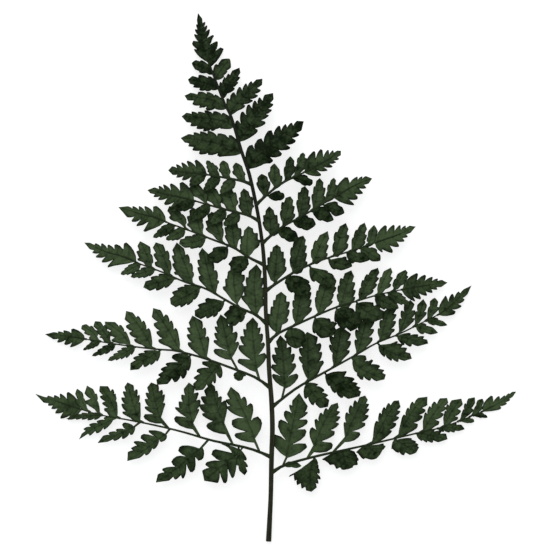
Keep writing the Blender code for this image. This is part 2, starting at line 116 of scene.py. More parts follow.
world = bpy.data.worlds.new("white_room")
world.use_nodes = True
background = world.node_tree.nodes["Background"]
background.inputs["Color"].default_value = (*ROOM_COLOUR, 1.0)
background.inputs["Strength"].default_value = ROOM_LIGHT
bpy.context.scene.world = world
bpy.context.scene.view_settings.view_transform = "Standard"


# Stem
# The stalk and midrib of the frond: a tough olive-brown stem, round below and grooved along its upper side,
# cut square at its foot. It is drawn out ring by ring from a disc at the cut.
STEM_LINE = (
    (-1.0, 0.0, 1.71, 1.95), (-0.1, 18.0, 4.2, 1.75), (0.6, 34.0, 6.5, 1.65), (1.1, 60.0, 10.4, 1.75),
    (1.7, 80.0, 12.1, 1.75), (1.0, 100.0, 13.1, 1.7), (-0.6, 120.0, 13.7, 1.6), (-1.4, 140.0, 14.1, 1.5),
    (-2.9, 160.0, 14.4, 1.45), (-3.2, 178.0, 14.6, 1.45), (-4.6, 202.0, 14.9, 1.4), (-6.9, 220.0, 15.1, 1.3),
    (-9.3, 234.0, 15.1, 1.3), (-14.4, 257.0, 14.9, 1.3), (-20.1, 274.0, 13.8, 1.2), (-27.0, 297.0, 11.4, 1.1),
    (-31.6, 306.5, 10.0, 1.0), (-38.5, 324.0, 7.2, 0.85), (-41.3, 331.5, 5.9, 0.7),
)
STEM_STEPS = 4
STEM_SIDES = 14
GROOVE_DEPTH = 0.28
GROOVE_WIDTH = 0.55
STEM_CREASE = 50.0
STEM_COLOUR = (0.020, 0.019, 0.009)
STEM_DARK_BROWN = (0.011, 0.013, 0.005)
STEM_LIGHT_BROWN = (0.038, 0.038, 0.019)
STEM_GREEN = (0.007, 0.011, 0.004)
STEM_BROWN_TO = -0.05
STEM_GREEN_FROM = 0.06
STREAKS = (900.0, 60.0, 900.0)


def mix(a, b, share):
    return a + (b - a) * share


def smooth_line(points, steps):
    knots = [Vector(point) for point in points]
    knots = [2 * knots[0] - knots[1]] + knots + [2 * knots[-1] - knots[-2]]
    line = []
    for index in range(1, len(knots) - 2):
        before, start, end, after = knots[index - 1:index + 3]
        for step in range(steps):
            t = step / steps
            bend = 2 * before - 5 * start + 4 * end - after
            twist = 3 * start - before - 3 * end + after
            line.append(0.5 * (2 * start + (end - before) * t + bend * t ** 2 + twist * t ** 3))
    line.append(knots[-2])
    return line


def drawn_out(name, line, radii, sides, groove):
    """A closed stem through the points: a disc, extruded from ring to ring, with a groove along its top."""
    deselect()
    bpy.ops.mesh.primitive_circle_add(vertices=sides, radius=MM, fill_type="NGON")
    made = bpy.context.object
    made.name = name
    bpy.ops.object.mode_set(mode="EDIT")
    for index, point in enumerate(line):
        if index:
            bpy.ops.mesh.extrude_region_move()
        work = bmesh.from_edit_mesh(made.data)
        turn = work.verts.layers.int.get("turn") or work.verts.layers.int.new("turn")
        ring = [vertex for vertex in work.verts if vertex.select]
        if index == 0:
            ring.sort(key=lambda vertex: math.atan2(vertex.co.y, vertex.co.x))
            for corner, vertex in enumerate(ring):
                vertex[turn] = corner
        along = (line[min(index + 1, len(line) - 1)] - line[max(index - 1, 0)]).normalized()
        across = along.cross(Vector((0, 0, 1))).normalized()
        upward = across.cross(along)
        for vertex in ring:
            angle = 2 * math.pi * vertex[turn] / sides
            from_top = abs((angle - math.pi / 2 + math.pi) % (2 * math.pi) - math.pi)
            radius = radii[index] * (1.0 - groove * math.exp(-(from_top / GROOVE_WIDTH) ** 2))
            spot = point + radius * (math.cos(angle) * across + math.sin(angle) * upward)
            vertex.co = placed(*spot)
        bmesh.update_edit_mesh(made.data)
    bpy.ops.mesh.select_all(action="SELECT")
    bpy.ops.mesh.normals_make_consistent(inside=False)
    bpy.ops.object.mode_set(mode="OBJECT")
    made.location = (0.0, 0.0, 0.0)
    return made


STEM = smooth_line([row[:3] for row in STEM_LINE], STEM_STEPS)
STEM_RADII = [row.x for row in smooth_line([(row[3], 0.0, 0.0) for row in STEM_LINE], STEM_STEPS)]
stem = drawn_out("frond_stem", STEM, STEM_RADII, STEM_SIDES, GROOVE_DEPTH)


def noise(nodes, links, vector, scale, detail):
    made = nodes.new("ShaderNodeTexNoise")
    made.inputs["Scale"].default_value = scale
    made.inputs["Detail"].default_value = detail
    links.new(vector, made.inputs["Vector"])
    return made.outputs["Fac"]


def ramp(nodes, links, factor, *stops):
    """A colour between two stops, each given as (place on the ramp, colour)."""
    made = nodes.new("ShaderNodeValToRGB")
    for element, (position, colour) in zip(made.color_ramp.elements, stops):
        element.position = position
        element.color = (*colour, 1.0)
    links.new(factor, made.inputs["Fac"])
    return made.outputs["Color"]


def mixed(nodes, links, factor, first, second):
    """A mix of two colours. The first may be another node's output."""
    made = nodes.new("ShaderNodeMix")
    made.data_type = "RGBA"
    if isinstance(first, tuple):
        made.inputs["A"].default_value = (*first, 1.0)
    else:
        links.new(first, made.inputs["A"])
    made.inputs["B"].default_value = (*second, 1.0)
    links.new(factor, made.inputs["Factor"])
    return made.outputs["Result"]


def roughened(nodes, links, shader, height, strength, depth):
    made = nodes.new("ShaderNodeBump")
    made.inputs["Strength"].default_value = strength
    made.inputs["Distance"].default_value = depth
    links.new(height, made.inputs["Height"])
    links.new(made.outputs["Normal"], shader.inputs["Normal"])


def smoothed(item, crease):
    deselect()
    item.select_set(True)
    bpy.context.view_layer.objects.active = item
    bpy.ops.object.shade_smooth_by_angle(angle=math.radians(crease))


stem_brown, nodes, links, shader = new_material("stem_brown", STEM_COLOUR, roughness=0.5, specular=0.12)
place = nodes.new("ShaderNodeTexCoord")
stretch = nodes.new("ShaderNodeMapping")
stretch.inputs["Scale"].default_value = STREAKS
links.new(place.outputs["Object"], stretch.inputs["Vector"])
streaks = noise(nodes, links, stretch.outputs["Vector"], scale=1.0, detail=4.0)
browns = ramp(nodes, links, streaks, (0.35, STEM_DARK_BROWN), (0.7, STEM_LIGHT_BROWN))
along_stem = nodes.new("ShaderNodeSeparateXYZ")
links.new(place.outputs["Object"], along_stem.inputs["Vector"])
greening = nodes.new("ShaderNodeMapRange")
greening.inputs["From Min"].default_value = STEM_BROWN_TO
greening.inputs["From Max"].default_value = STEM_GREEN_FROM
links.new(along_stem.outputs["Y"], greening.inputs["Value"])
browns = mixed(nodes, links, greening.outputs["Result"], browns, STEM_GREEN)
links.new(browns, shader.inputs["Base Color"])
roughened(nodes, links, shader, streaks, strength=0.35, depth=0.2 * MM)
stem.data.materials.append(stem_brown)
smoothed(stem, STEM_CREASE)
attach(stem, "root")
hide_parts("stem")


# Leaf blades
# Leathery blades, dark green and faintly glossy above and paler below, with a sunken midrib and a side vein
# to each lobe. Each starts as a flat grid, which is cut to its lobes by moving its points.
BLADE_THICKNESS = 0.34
BLADE_CREASE = 55.0
HALF_ROWS = 3
KNOTS_PER_LOBE = 7
END_KNOTS = 4
STALK = 0.65
STALK_FOOT = 1.3
TABLE_GAP = 0.02

# Even lobes, which narrow from the widest place to the last lobe.
LOBE_SLANT = 0.6
WIDEST = 0.28
TAPER = 0.62
EVEN_FIRST = 0.14
EVEN_LAST = 0.84
EVEN_FULLNESS = 0.75

# Lobes by their tips: how much wider a blade is drawn, and where lobes may leave the midrib.
WIDER = 1.07
TIP_STEPS = 80
FIRST_FOOT = 0.03
LAST_FOOT = 0.96
FOOT_SPACING = 0.05

# The rim from notch to lobe and from lobe to notch, as pairs of (share of the way along, share outwards).
RISE = [(0.08, 0.36), (0.26, 0.64), (0.5, 0.84), (0.8, 0.98)]
FIRST_RISE = [(0.08, 0.36), (0.26, 0.64), (0.5, 0.84), (0.85, 0.97)]
LATE_RISE = [(0.22, 0.3), (0.46, 0.58), (0.7, 0.82), (0.85, 0.97)]
DEEP_RISE = [(0.06, 0.34), (0.18, 0.7), (0.5, 0.96)]
FALL = [(0.6, 0.2)]
DEEP_FALL = [(0.55, 0.14), (0.9, 0.55)]
END_FALL = [(0.2, 0.2), (0.45, 0.46), (0.68, 0.68), (0.88, 0.88)]
PLUMP_END_FALL = [(0.2, 0.11), (0.45, 0.31), (0.68, 0.54), (0.88, 0.79)]
WOBBLE = 0.08

# Short leaflets are plump, with shallow notches; a first lobe that starts late rises late.
SHORT_LEAFLET = 11.0
LONG_LEAFLET = 24.0
LATE_FOOT = 0.4
PLUMP_EARLIER = 0.7
FIRST_LOBE_BULGE = 0.45
MOST_BULGE = 3.5
BULGE_END = 1.08

# Notches: their place after a lobe, and the share of the width that they leave.
NOTCH_HALFWAY = 18.0
NOTCH_PLACES = (0.2, 0.45)
NOTCH_IN = 0.05
PLUMP_NOTCH = (0.45, 0.3)
DEEP_KEEP = 0.07
LEAST_KEEP = 0.4
LEAST_KEEP_NARROW = 0.75
WIDE_LOBE = 6.0
PLUMP_KEEP = 0.96
PLUMP_KEEP_SHARE = 0.75

# The blade's relief: hanging margins, pleats between the side veins, a sunken midrib and a slight twist.
MARGIN_FALL = 0.12
FAR_LOBE_FALL = 0.3
FALL_CURVE = 1.4
PLEAT = 0.32
PLEATED_WIDTH = 4.0
MIDRIB_SINK = 0.18
TWIST = 0.05
FARTHEST_LEAN = 0.95
TONE_SPREAD = 0.45


def lengths_along(line):
    runs = [0.0]
    for a, b in zip(line, line[1:]):
        runs.append(runs[-1] + (b - a).length)
    return runs


def point_at(line, share):
    runs = lengths_along(line)
    target = min(max(share, 0.0), 1.0) * runs[-1]
    index = 0
    while index < len(line) - 2 and runs[index + 1] < target:
        index += 1
    part = (target - runs[index]) / max(runs[index + 1] - runs[index], 1e-9)
    return line[index].lerp(line[index + 1], part), (line[index + 1] - line[index]).normalized()


def share_at_x(line, x):
    runs = lengths_along(line)
    for index, (a, b) in enumerate(zip(line, line[1:])):
        if min(a.x, b.x) <= x <= max(a.x, b.x) and a.x != b.x:
            return (runs[index] + (x - a.x) / (b.x - a.x) * (runs[index + 1] - runs[index])) / runs[-1]
    return 0.0


def even_lobes(width, count):
    """Lobes of a regular margin, as (place on the midrib, reach outwards, lean forwards)."""
    lobes = []
    for lobe in range(count):
        foot = mix(EVEN_FIRST, EVEN_LAST, lobe / (count - 1))
        swell = mix(EVEN_FULLNESS, 1.0, min(foot / WIDEST, 1.0))
        reach = width * swell * (1.0 - max(foot - WIDEST, 0.0) / (1.0 - WIDEST)) ** TAPER
        lobes.append((foot, reach, LOBE_SLANT * reach))
    return lobes


def read_lobes(line, points):
    """Lobes of a margin whose tips are given in plan, in the same form."""
    length = lengths_along(line)[-1]
    lobes = []
    lowest = FIRST_FOOT
    for x, y in points:
        spot = Vector((x, y, 0.0))
        shares = [step / TIP_STEPS for step in range(TIP_STEPS + 1)]
        share = min(shares, key=lambda part: (point_at(line, part)[0] - spot).length)
        reach = WIDER * (point_at(line, share)[0] - spot).length
        foot = min(max(share - LOBE_SLANT * reach / length, lowest), LAST_FOOT)
        lowest = foot + FOOT_SPACING
        centre, along = point_at(line, foot)
        away = spot - centre
        lobes.append((foot, WIDER * abs(along.x * away.y - along.y * away.x), away.dot(along)))
    return lobes


def is_left(line, lobes):
    chord = line[-1] - line[0]
    away = Vector((lobes[0][0], lobes[0][1], 0.0)) - line[0]
    return chord.x * away.y - chord.y * away.x > 0


def both_sides(line, first, second, count=0):
    """The left and the right lobes. Each side is given as its lobes' tips or as a half width."""
    found = {}
    for lobes in (first, second):
        if isinstance(lobes, tuple):
            found["left" if is_left(line, lobes) else "right"] = read_lobes(line, lobes)
    for lobes in (first, second):
        if not isinstance(lobes, tuple):
            found.setdefault("right" if "left" in found else "left", even_lobes(lobes, count))
    return found["left"], found["right"]


def between(a, b, parts):
    return [(mix(a[0], b[0], along), mix(a[1], b[1], out), mix(a[2], b[2], out)) for along, out in parts]


def blended(first, second, share):
    return [(mix(a[0], b[0], share), mix(a[1], b[1], share)) for a, b in zip(first, second)]


def margin(lobes, length, deep, columns, stalk, cut, full_base, chance):
    """The rim of one side as (foot, reach, lean) for each column of the grid, with a tooth on each lobe."""
    end = (1.0, 0.0, 0.0)
    plump = min(max((LONG_LEAFLET - length) / (LONG_LEAFLET - SHORT_LEAFLET), 0.0), 1.0)
    late = 0.0
    if not deep and not full_base:
        late = min(lobes[0][0] / LATE_FOOT, 1.0) * (1.0 - PLUMP_EARLIER * plump)
    knots = [(0.0, STALK_FOOT * STALK, 0.0), (stalk * lobes[0][0], STALK, 0.0)]
    for index, lobe in enumerate(lobes):
        ahead = lobes[index + 1] if index + 1 < len(lobes) else end
        wobble = WOBBLE * (chance.random() - 0.5)
        if index < deep:
            parts = DEEP_RISE
        elif index == 0:
            parts = blended(FIRST_RISE, LATE_RISE, late)
        else:
            parts = [(along, out + wobble) for along, out in RISE[:2]] + RISE[2:]
        rise = between(knots[-1], lobe, parts)
        if index == 0:
            bulge = min(FIRST_LOBE_BULGE * (1.0 - late) * lobe[1], MOST_BULGE) / lobe[1]
            rise = [(foot, reach, lean - bulge * reach * (BULGE_END - reach / lobe[1]))
                    for foot, reach, lean in rise]
        knots += rise + [lobe]
        if index < deep:
            notch = (mix(lobe[0], ahead[0], 0.5), DEEP_KEEP * lobe[1], DEEP_KEEP * lobe[2])
            knots += between(lobe, notch, DEEP_FALL) + [notch]
        elif ahead is end:
            knots += between(lobe, end, blended(END_FALL, PLUMP_END_FALL, plump))
        else:
            spacing = (ahead[0] - lobe[0]) * length
            place = min(max(spacing / NOTCH_HALFWAY, NOTCH_PLACES[0]), NOTCH_PLACES[1])
            parts = blended([(place, place + NOTCH_IN)], [PLUMP_NOTCH], plump)
            foot, reach, lean = between(lobe, ahead, parts)[0]
            least = mix(LEAST_KEEP_NARROW, LEAST_KEEP, min(reach / WIDE_LOBE, 1.0))
            keep = max(1.0 - cut * spacing / max(reach, 0.1), least)
            keep = mix(keep, PLUMP_KEEP, PLUMP_KEEP_SHARE * plump)
            notch = (foot, keep * reach, keep * lean)
            knots += between(lobe, notch, FALL) + [notch]
    knots.append(end)
    last = len(knots) - 1
    spots = [round(knot * columns / last) for knot in range(last + 1)]
    rim = []
    for column in range(columns + 1):
        index = max(knot for knot, spot in enumerate(spots) if spot <= column)
        if spots[index] == column or index == last:
            rim.append(knots[index])
        else:
            part = (column - spots[index]) / (spots[index + 1] - spots[index])
            rim += between(knots[index], knots[index + 1], [(part, part)])
    return rim


def leaf_blade(line, sides, height, falls, deep, stalk, cut, full_bases, paleness_and_shade, chance):
    """One blade along a line in plan, whose midrib is as high as height says for a share of the line.

    sides holds the left and right lobes. falls, deep and full_bases say for each side how far it hangs, how
    many of its first lobes are cut to the midrib, and whether it is full from its start. stalk is the bare
    share of the way to the first lobe, cut the notches' depth for their spacing, paleness the blade's tone,
    which holds painted light on far leaflets and end blades and painted shade on near leaflets.
    """
    length = lengths_along(line)[-1]
    count = max(len(lobes) for lobes in sides)
    columns = KNOTS_PER_LOBE * count + END_KNOTS
    rims = [margin(lobes, length, deeps, columns, stalk, cut, full_base, chance)
            for lobes, deeps, full_base in zip(sides, deep, full_bases)]
    twist = TWIST * (chance.random() - 0.5)
    own_tone_and_shade = paleness_and_shade + TONE_SPREAD * chance.random()
    deselect()
    bpy.ops.mesh.primitive_grid_add(x_subdivisions=columns, y_subdivisions=2 * HALF_ROWS, size=1.0)
    made = bpy.context.object
    mesh = made.data
    tone_and_shade = mesh.attributes.new("tone_and_shade", "FLOAT", "POINT")
    for vertex in mesh.vertices:
        column = round((vertex.co.x + 0.5) * columns)
        row = round((vertex.co.y + 0.5) * 2 * HALF_ROWS) - HALF_ROWS
        side = 0 if row > 0 else 1
        leftward = 1 if side == 0 else -1
        foot, reach, lean = rims[side][column]
        middle_foot = 0.5 * (rims[0][column][0] + rims[1][column][0])
        out = abs(row) / HALF_ROWS
        share = mix(middle_foot, foot, out)
        centre, along = point_at(line, share)
        across = Vector((-along.y, along.x, 0.0)) * leftward
        forward = min(lean * out, FARTHEST_LEAN * length * (1.0 - share))
        spot = centre + out * reach * across + forward * along
        phase = 2 * math.pi * column * len(sides[side]) / columns
        z = height(share) - falls[side] * max(reach - STALK, 0.0) * out ** FALL_CURVE
        if row == 0:
            z -= MIDRIB_SINK
        z += PLEAT * out * math.cos(phase - math.pi) * min(reach / PLEATED_WIDTH, 1.0)
        z += twist * leftward * reach * out
        vertex.co = placed(spot.x, spot.y, max(z, 0.5 * BLADE_THICKNESS + TABLE_GAP))
        tone_and_shade.data[vertex.index].value = own_tone_and_shade
    for corner in mesh.uv_layers.active.data:
        corner.uv.x *= count
    return made


def joined(name, parts):
    deselect()
    for part in parts:
        part.select_set(True)
    bpy.context.view_layer.objects.active = parts[0]
    if len(parts) > 1:
        bpy.ops.object.join()
    whole = bpy.context.object
    whole.name = name
    whole.data.name = name
    return whole


def thickened(blades):
    """Gives the joined blades their thickness, with the paler underside on their lower faces."""
    blades.data.materials.append(leaf_green)
    blades.data.materials.append(leaf_underside)
    wall = blades.modifiers.new("thickness", "SOLIDIFY")
    wall.thickness = BLADE_THICKNESS * MM
    wall.offset = 0.0
    wall.material_offset = 1
    bpy.context.view_layer.objects.active = blades
    bpy.ops.object.modifier_apply(modifier=wall.name)
    smoothed(blades, BLADE_CREASE)


# The leaf's colours run from dark to light green, in noise patches that are partly random and partly a
# painted sheen, and by a tone that holds painted light on far leaflets and painted shade on near ones. They
# are darker again on the midrib, with painted shade toward the margin, and on the veins, partly for their own
# colour and partly as painted shade in their sunken lines.
UPPER_DARK, UPPER_LIGHT, UPPER_EDGE = (0.004, 0.010, 0.002), (0.062, 0.099, 0.041), (0.002, 0.004, 0.001)
UNDER_DARK, UNDER_LIGHT, UNDER_EDGE = (0.035, 0.07, 0.025), (0.06, 0.11, 0.045), (0.03, 0.05, 0.02)
MIDRIB_SHARPNESS = 7.0
MIDRIB_DARKNESS = 0.5
VEIN_PLACE = 0.62
VEIN_SHARPNESS = 9.0
VEIN_COLOUR_AND_SHADE = 0.4
RIM_FROM = 0.62
RIM_PAINTED_SHADE = 2.4
DARKEST_EDGE = 0.85
PATCHES, PATCH_SHARE = 150.0, 1.5
SPECKS, SPECK_SHARE = 620.0, 0.8
TONE_AND_SHADE_SHARE = 0.9
SHADE_DROP = 1.06
GRAIN, GRAIN_HEIGHT = 1400.0, 0.35
MIDRIB_HEIGHT = -1.2
VEIN_DEPTH = 0.8


def leaf_material(name, dark, light, edge, roughness, specular):
    made, nodes, links, shader = new_material(name, light, roughness, specular)
    place = nodes.new("ShaderNodeTexCoord")
    split = nodes.new("ShaderNodeSeparateXYZ")
    links.new(place.outputs["UV"], split.inputs["Vector"])
    tone_and_shade = nodes.new("ShaderNodeAttribute")
    tone_and_shade.attribute_name = "tone_and_shade"

    def maths(operation, *values):
        node = nodes.new("ShaderNodeMath")
        node.operation = operation
        for socket, value in zip(node.inputs, values):
            if isinstance(value, float):
                socket.default_value = value
            else:
                links.new(value, socket)
        return node.outputs[0]

    def times(first, second):
        return maths("MULTIPLY", first, second)

    def less(first, second):
        return maths("SUBTRACT", first, second)

    from_midrib = times(maths("ABSOLUTE", less(split.outputs["Y"], 0.5)), 2.0)
    midrib = less(1.0, maths("MINIMUM", times(from_midrib, MIDRIB_SHARPNESS), 1.0))
    from_vein = maths("ABSOLUTE", less(maths("FRACT", split.outputs["X"]), VEIN_PLACE))
    vein = less(1.0, maths("MINIMUM", times(from_vein, VEIN_SHARPNESS), 1.0))
    vein = times(vein, less(1.0, from_midrib))
    # Painted shade: the blade is painted darker from a share of its half width out to its margin.
    rim = maths("MAXIMUM", times(less(from_midrib, RIM_FROM), RIM_PAINTED_SHADE), 0.0)

    # The noise patches are partly random tone and partly a painted sheen of lighter green.
    patches_and_sheen = noise(nodes, links, place.outputs["Object"], PATCHES, detail=3.0)
    specks = noise(nodes, links, place.outputs["Object"], SPECKS, detail=1.0)
    shade = maths("ADD", times(patches_and_sheen, PATCH_SHARE), times(tone_and_shade.outputs["Fac"], TONE_AND_SHADE_SHARE))
    shade = maths("ADD", shade, times(specks, SPECK_SHARE))
    # The veins are darkened partly for their own colour and partly as painted shade in their sunken lines.
    shade = less(less(shade, SHADE_DROP), times(vein, VEIN_COLOUR_AND_SHADE))
    greens = mixed(nodes, links, shade, dark, light)
    darkening = maths("MINIMUM", maths("ADD", rim, times(midrib, MIDRIB_DARKNESS)), DARKEST_EDGE)
    greens = mixed(nodes, links, darkening, greens, edge)
    links.new(greens, shader.inputs["Base Color"])

    grain = noise(nodes, links, place.outputs["Object"], GRAIN, detail=2.0)
    height = maths("ADD", times(grain, GRAIN_HEIGHT), times(midrib, MIDRIB_HEIGHT))
    height = less(height, times(vein, VEIN_DEPTH))
    roughened(nodes, links, shader, height, strength=0.5, depth=0.3 * MM)
    return made


leaf_green = leaf_material("leaf_green", UPPER_DARK, UPPER_LIGHT, UPPER_EDGE,
                           roughness=0.45, specular=0.05)
leaf_underside = leaf_material("leaf_underside", UNDER_DARK, UNDER_LIGHT, UNDER_EDGE,
                               roughness=0.6, specular=0.3)


# Cut pinnae
# The twelve lower side branches: a thin green rib that grows out of the stem, with a row of leaflets on each
# side and a lobed end. The far leaflets hang a little and the near ones lie level over the pinna before them.
RIB_ROOT_RADIUS = 1.05
RIB_TIP_RADIUS = 0.35
ROOT_FLARE = 0.6
ROOT_FLARE_LENGTH = 3.0
RIB_END = 0.9
RIB_RINGS = 22
RIB_SIDES = 8
PINNA_STEPS = 6
LEAFLET_STEPS = 5
END_STEPS = 16
FAR_DROOP_BASE = 3.0
FAR_DROOP_PER_LENGTH = 0.2
NEAR_DROOP_PER_LENGTH = 0.07
LOWEST_LEAFLET = 1.5
LEAFLET_LOBE_LENGTH = 4.8
LEAST_LOBES = 4
MOST_LOBES = 6
ROOT_SWEEP = 2.2
SWEEP_END = 0.3
DEEP_STALK = 0.75
LEAFLET_STALK = 0.3
END_STALK = 0.2
# Painted light and shade in the leaflets' tone: far leaflets and the end blades are painted paler, as lit,
# and near leaflets darker, as shaded.
FAR_LIT_TONE = 0.42
NEAR_SHADED_TONE = 0.15
END_CUT = 1.1
RIB_GROOVE = 0.15
RIB_LOWEST = 0.6
RIB_COLOUR = (0.016, 0.026, 0.008)
RIB_DARK = (0.006, 0.011, 0.003)
RIB_LIGHT = (0.026, 0.042, 0.014)


def stem_height(x, y):
    """Height of the stem's middle at its nearest point in plan."""
    return min(STEM, key=lambda point: (point.x - x) ** 2 + (point.y - y) ** 2).z


def by_hand(line, far, near):
    """The far and the near side's values as (left, right), seen from the stem along a pinna's line."""
    return (far, near) if line[-1].x > line[0].x else (near, far)


rib_green, nodes, links, shader = new_material("rib_green", RIB_COLOUR, roughness=0.5, specular=0.1)
place = nodes.new("ShaderNodeTexCoord")
mottle = noise(nodes, links, place.outputs["Object"], scale=300.0, detail=2.0)
links.new(ramp(nodes, links, mottle, (0.0, RIB_DARK), (1.0, RIB_LIGHT)), shader.inputs["Base Color"])


def leaflet(line, height, is_far, x_base, route, first, second, deep, stalk, cut, pale_and_shade):
    """A leaflet on the rib's line. Its foot is at x_base, route is its midrib, first and second are its
    margins, and deep says how many lobes of each are cut to the midrib."""
    # pale is the leaflet's tone, with painted light for far leaflets and painted shade for near ones.
    share = share_at_x(line, x_base)
    base, _ = point_at(line, share)
    points = [base] + [(x, y, 0.0) for x, y in route]
    if is_far:
        root, _ = point_at(line, share - ROOT_SWEEP / lengths_along(line)[-1])
        points[:1] = [root, base.lerp(Vector(points[1]), SWEEP_END)]
    path = smooth_line(points, LEAFLET_STEPS)
    length = lengths_along(path)[-1]
    top = height(share)
    droop = NEAR_DROOP_PER_LENGTH * length
    if is_far:
        droop = FAR_DROOP_BASE + FAR_DROOP_PER_LENGTH * length
    droop = max(min(droop, top - LOWEST_LEAFLET), 0.0)

    def leaflet_height(part):
        return top - droop * (0.5 * part + 0.5 * part * part)

    count = max(LEAST_LOBES, min(MOST_LOBES, round(length / LEAFLET_LOBE_LENGTH)))
    sides = both_sides(path, first, second, count)
    if any(deep) and not is_left(path, first):
        deep = deep[::-1]
    falls = (MARGIN_FALL, MARGIN_FALL)
    return leaf_blade(path, sides, leaflet_height, falls, deep, stalk, cut, (False, False), pale_and_shade, chance)


def cut_pinna(name, pale_and_shade, cut, tip_height, rib, far, near, blade):
    """A pinna along its rib in plan, whose tip is at tip_height. far and near hold its leaflets, and blade
    its end as (x where it starts, its far lobes, its near lobes)."""
    line = smooth_line([(x, y, 0.0) for x, y in rib], PINNA_STEPS)
    length = lengths_along(line)[-1]
    root_height = stem_height(line[0].x, line[0].y)

    def rib_height(share):
        return root_height - (root_height - tip_height) * share * share

    blades = []
    for is_far, rows in ((True, far), (False, near)):
        for x_base, route, first, second, *deeps in rows:
            has_stalk = deeps and (is_far or name == "pinna_left_1")
            # Far leaflets get painted light in their tone, and near ones get painted shade.
            blades.append(leaflet(line, rib_height, is_far, x_base, route, first, second,
                                  deeps[0] if deeps else (0, 0), DEEP_STALK if has_stalk else LEAFLET_STALK,
                                  cut, pale_and_shade + (FAR_LIT_TONE if is_far else NEAR_SHADED_TONE)))
    start_x, far_lobes, near_lobes = blade
    start = share_at_x(line, start_x)
    end_line = [point_at(line, mix(start, 1.0, step / END_STEPS))[0] for step in range(END_STEPS + 1)]

    def end_height(share):
        return rib_height(mix(start, 1.0, share))

    sides = both_sides(end_line, far_lobes, near_lobes)
    falls = by_hand(line, FAR_LOBE_FALL, MARGIN_FALL)
    full_bases = by_hand(line, True, False)
    # The end blade gets the far leaflets' painted light in its tone.
    blades.append(leaf_blade(end_line, sides, end_height, falls, (0, 0), END_STALK, END_CUT, full_bases,
                             pale_and_shade + FAR_LIT_TONE, chance))
    leaves = joined(f"{name}_leaf", blades)
    thickened(leaves)

    rings, radii = [], []
    for ring in range(RIB_RINGS + 1):
        share = RIB_END * ring / RIB_RINGS
        spot, _ = point_at(line, share)
        rings.append(Vector((spot.x, spot.y, max(rib_height(share), RIB_LOWEST))))
        flare = ROOT_FLARE * math.exp(-share * length / ROOT_FLARE_LENGTH)
        radii.append(mix(RIB_ROOT_RADIUS, RIB_TIP_RADIUS, share / RIB_END) + flare)
    branch = drawn_out(f"{name}_rib", rings, radii, RIB_SIDES, RIB_GROOVE)
    branch.data.materials.append(rib_green)
    pinna = joined(f"{name}_leaf", [leaves, branch])
    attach(pinna, "root")
    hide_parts(name)


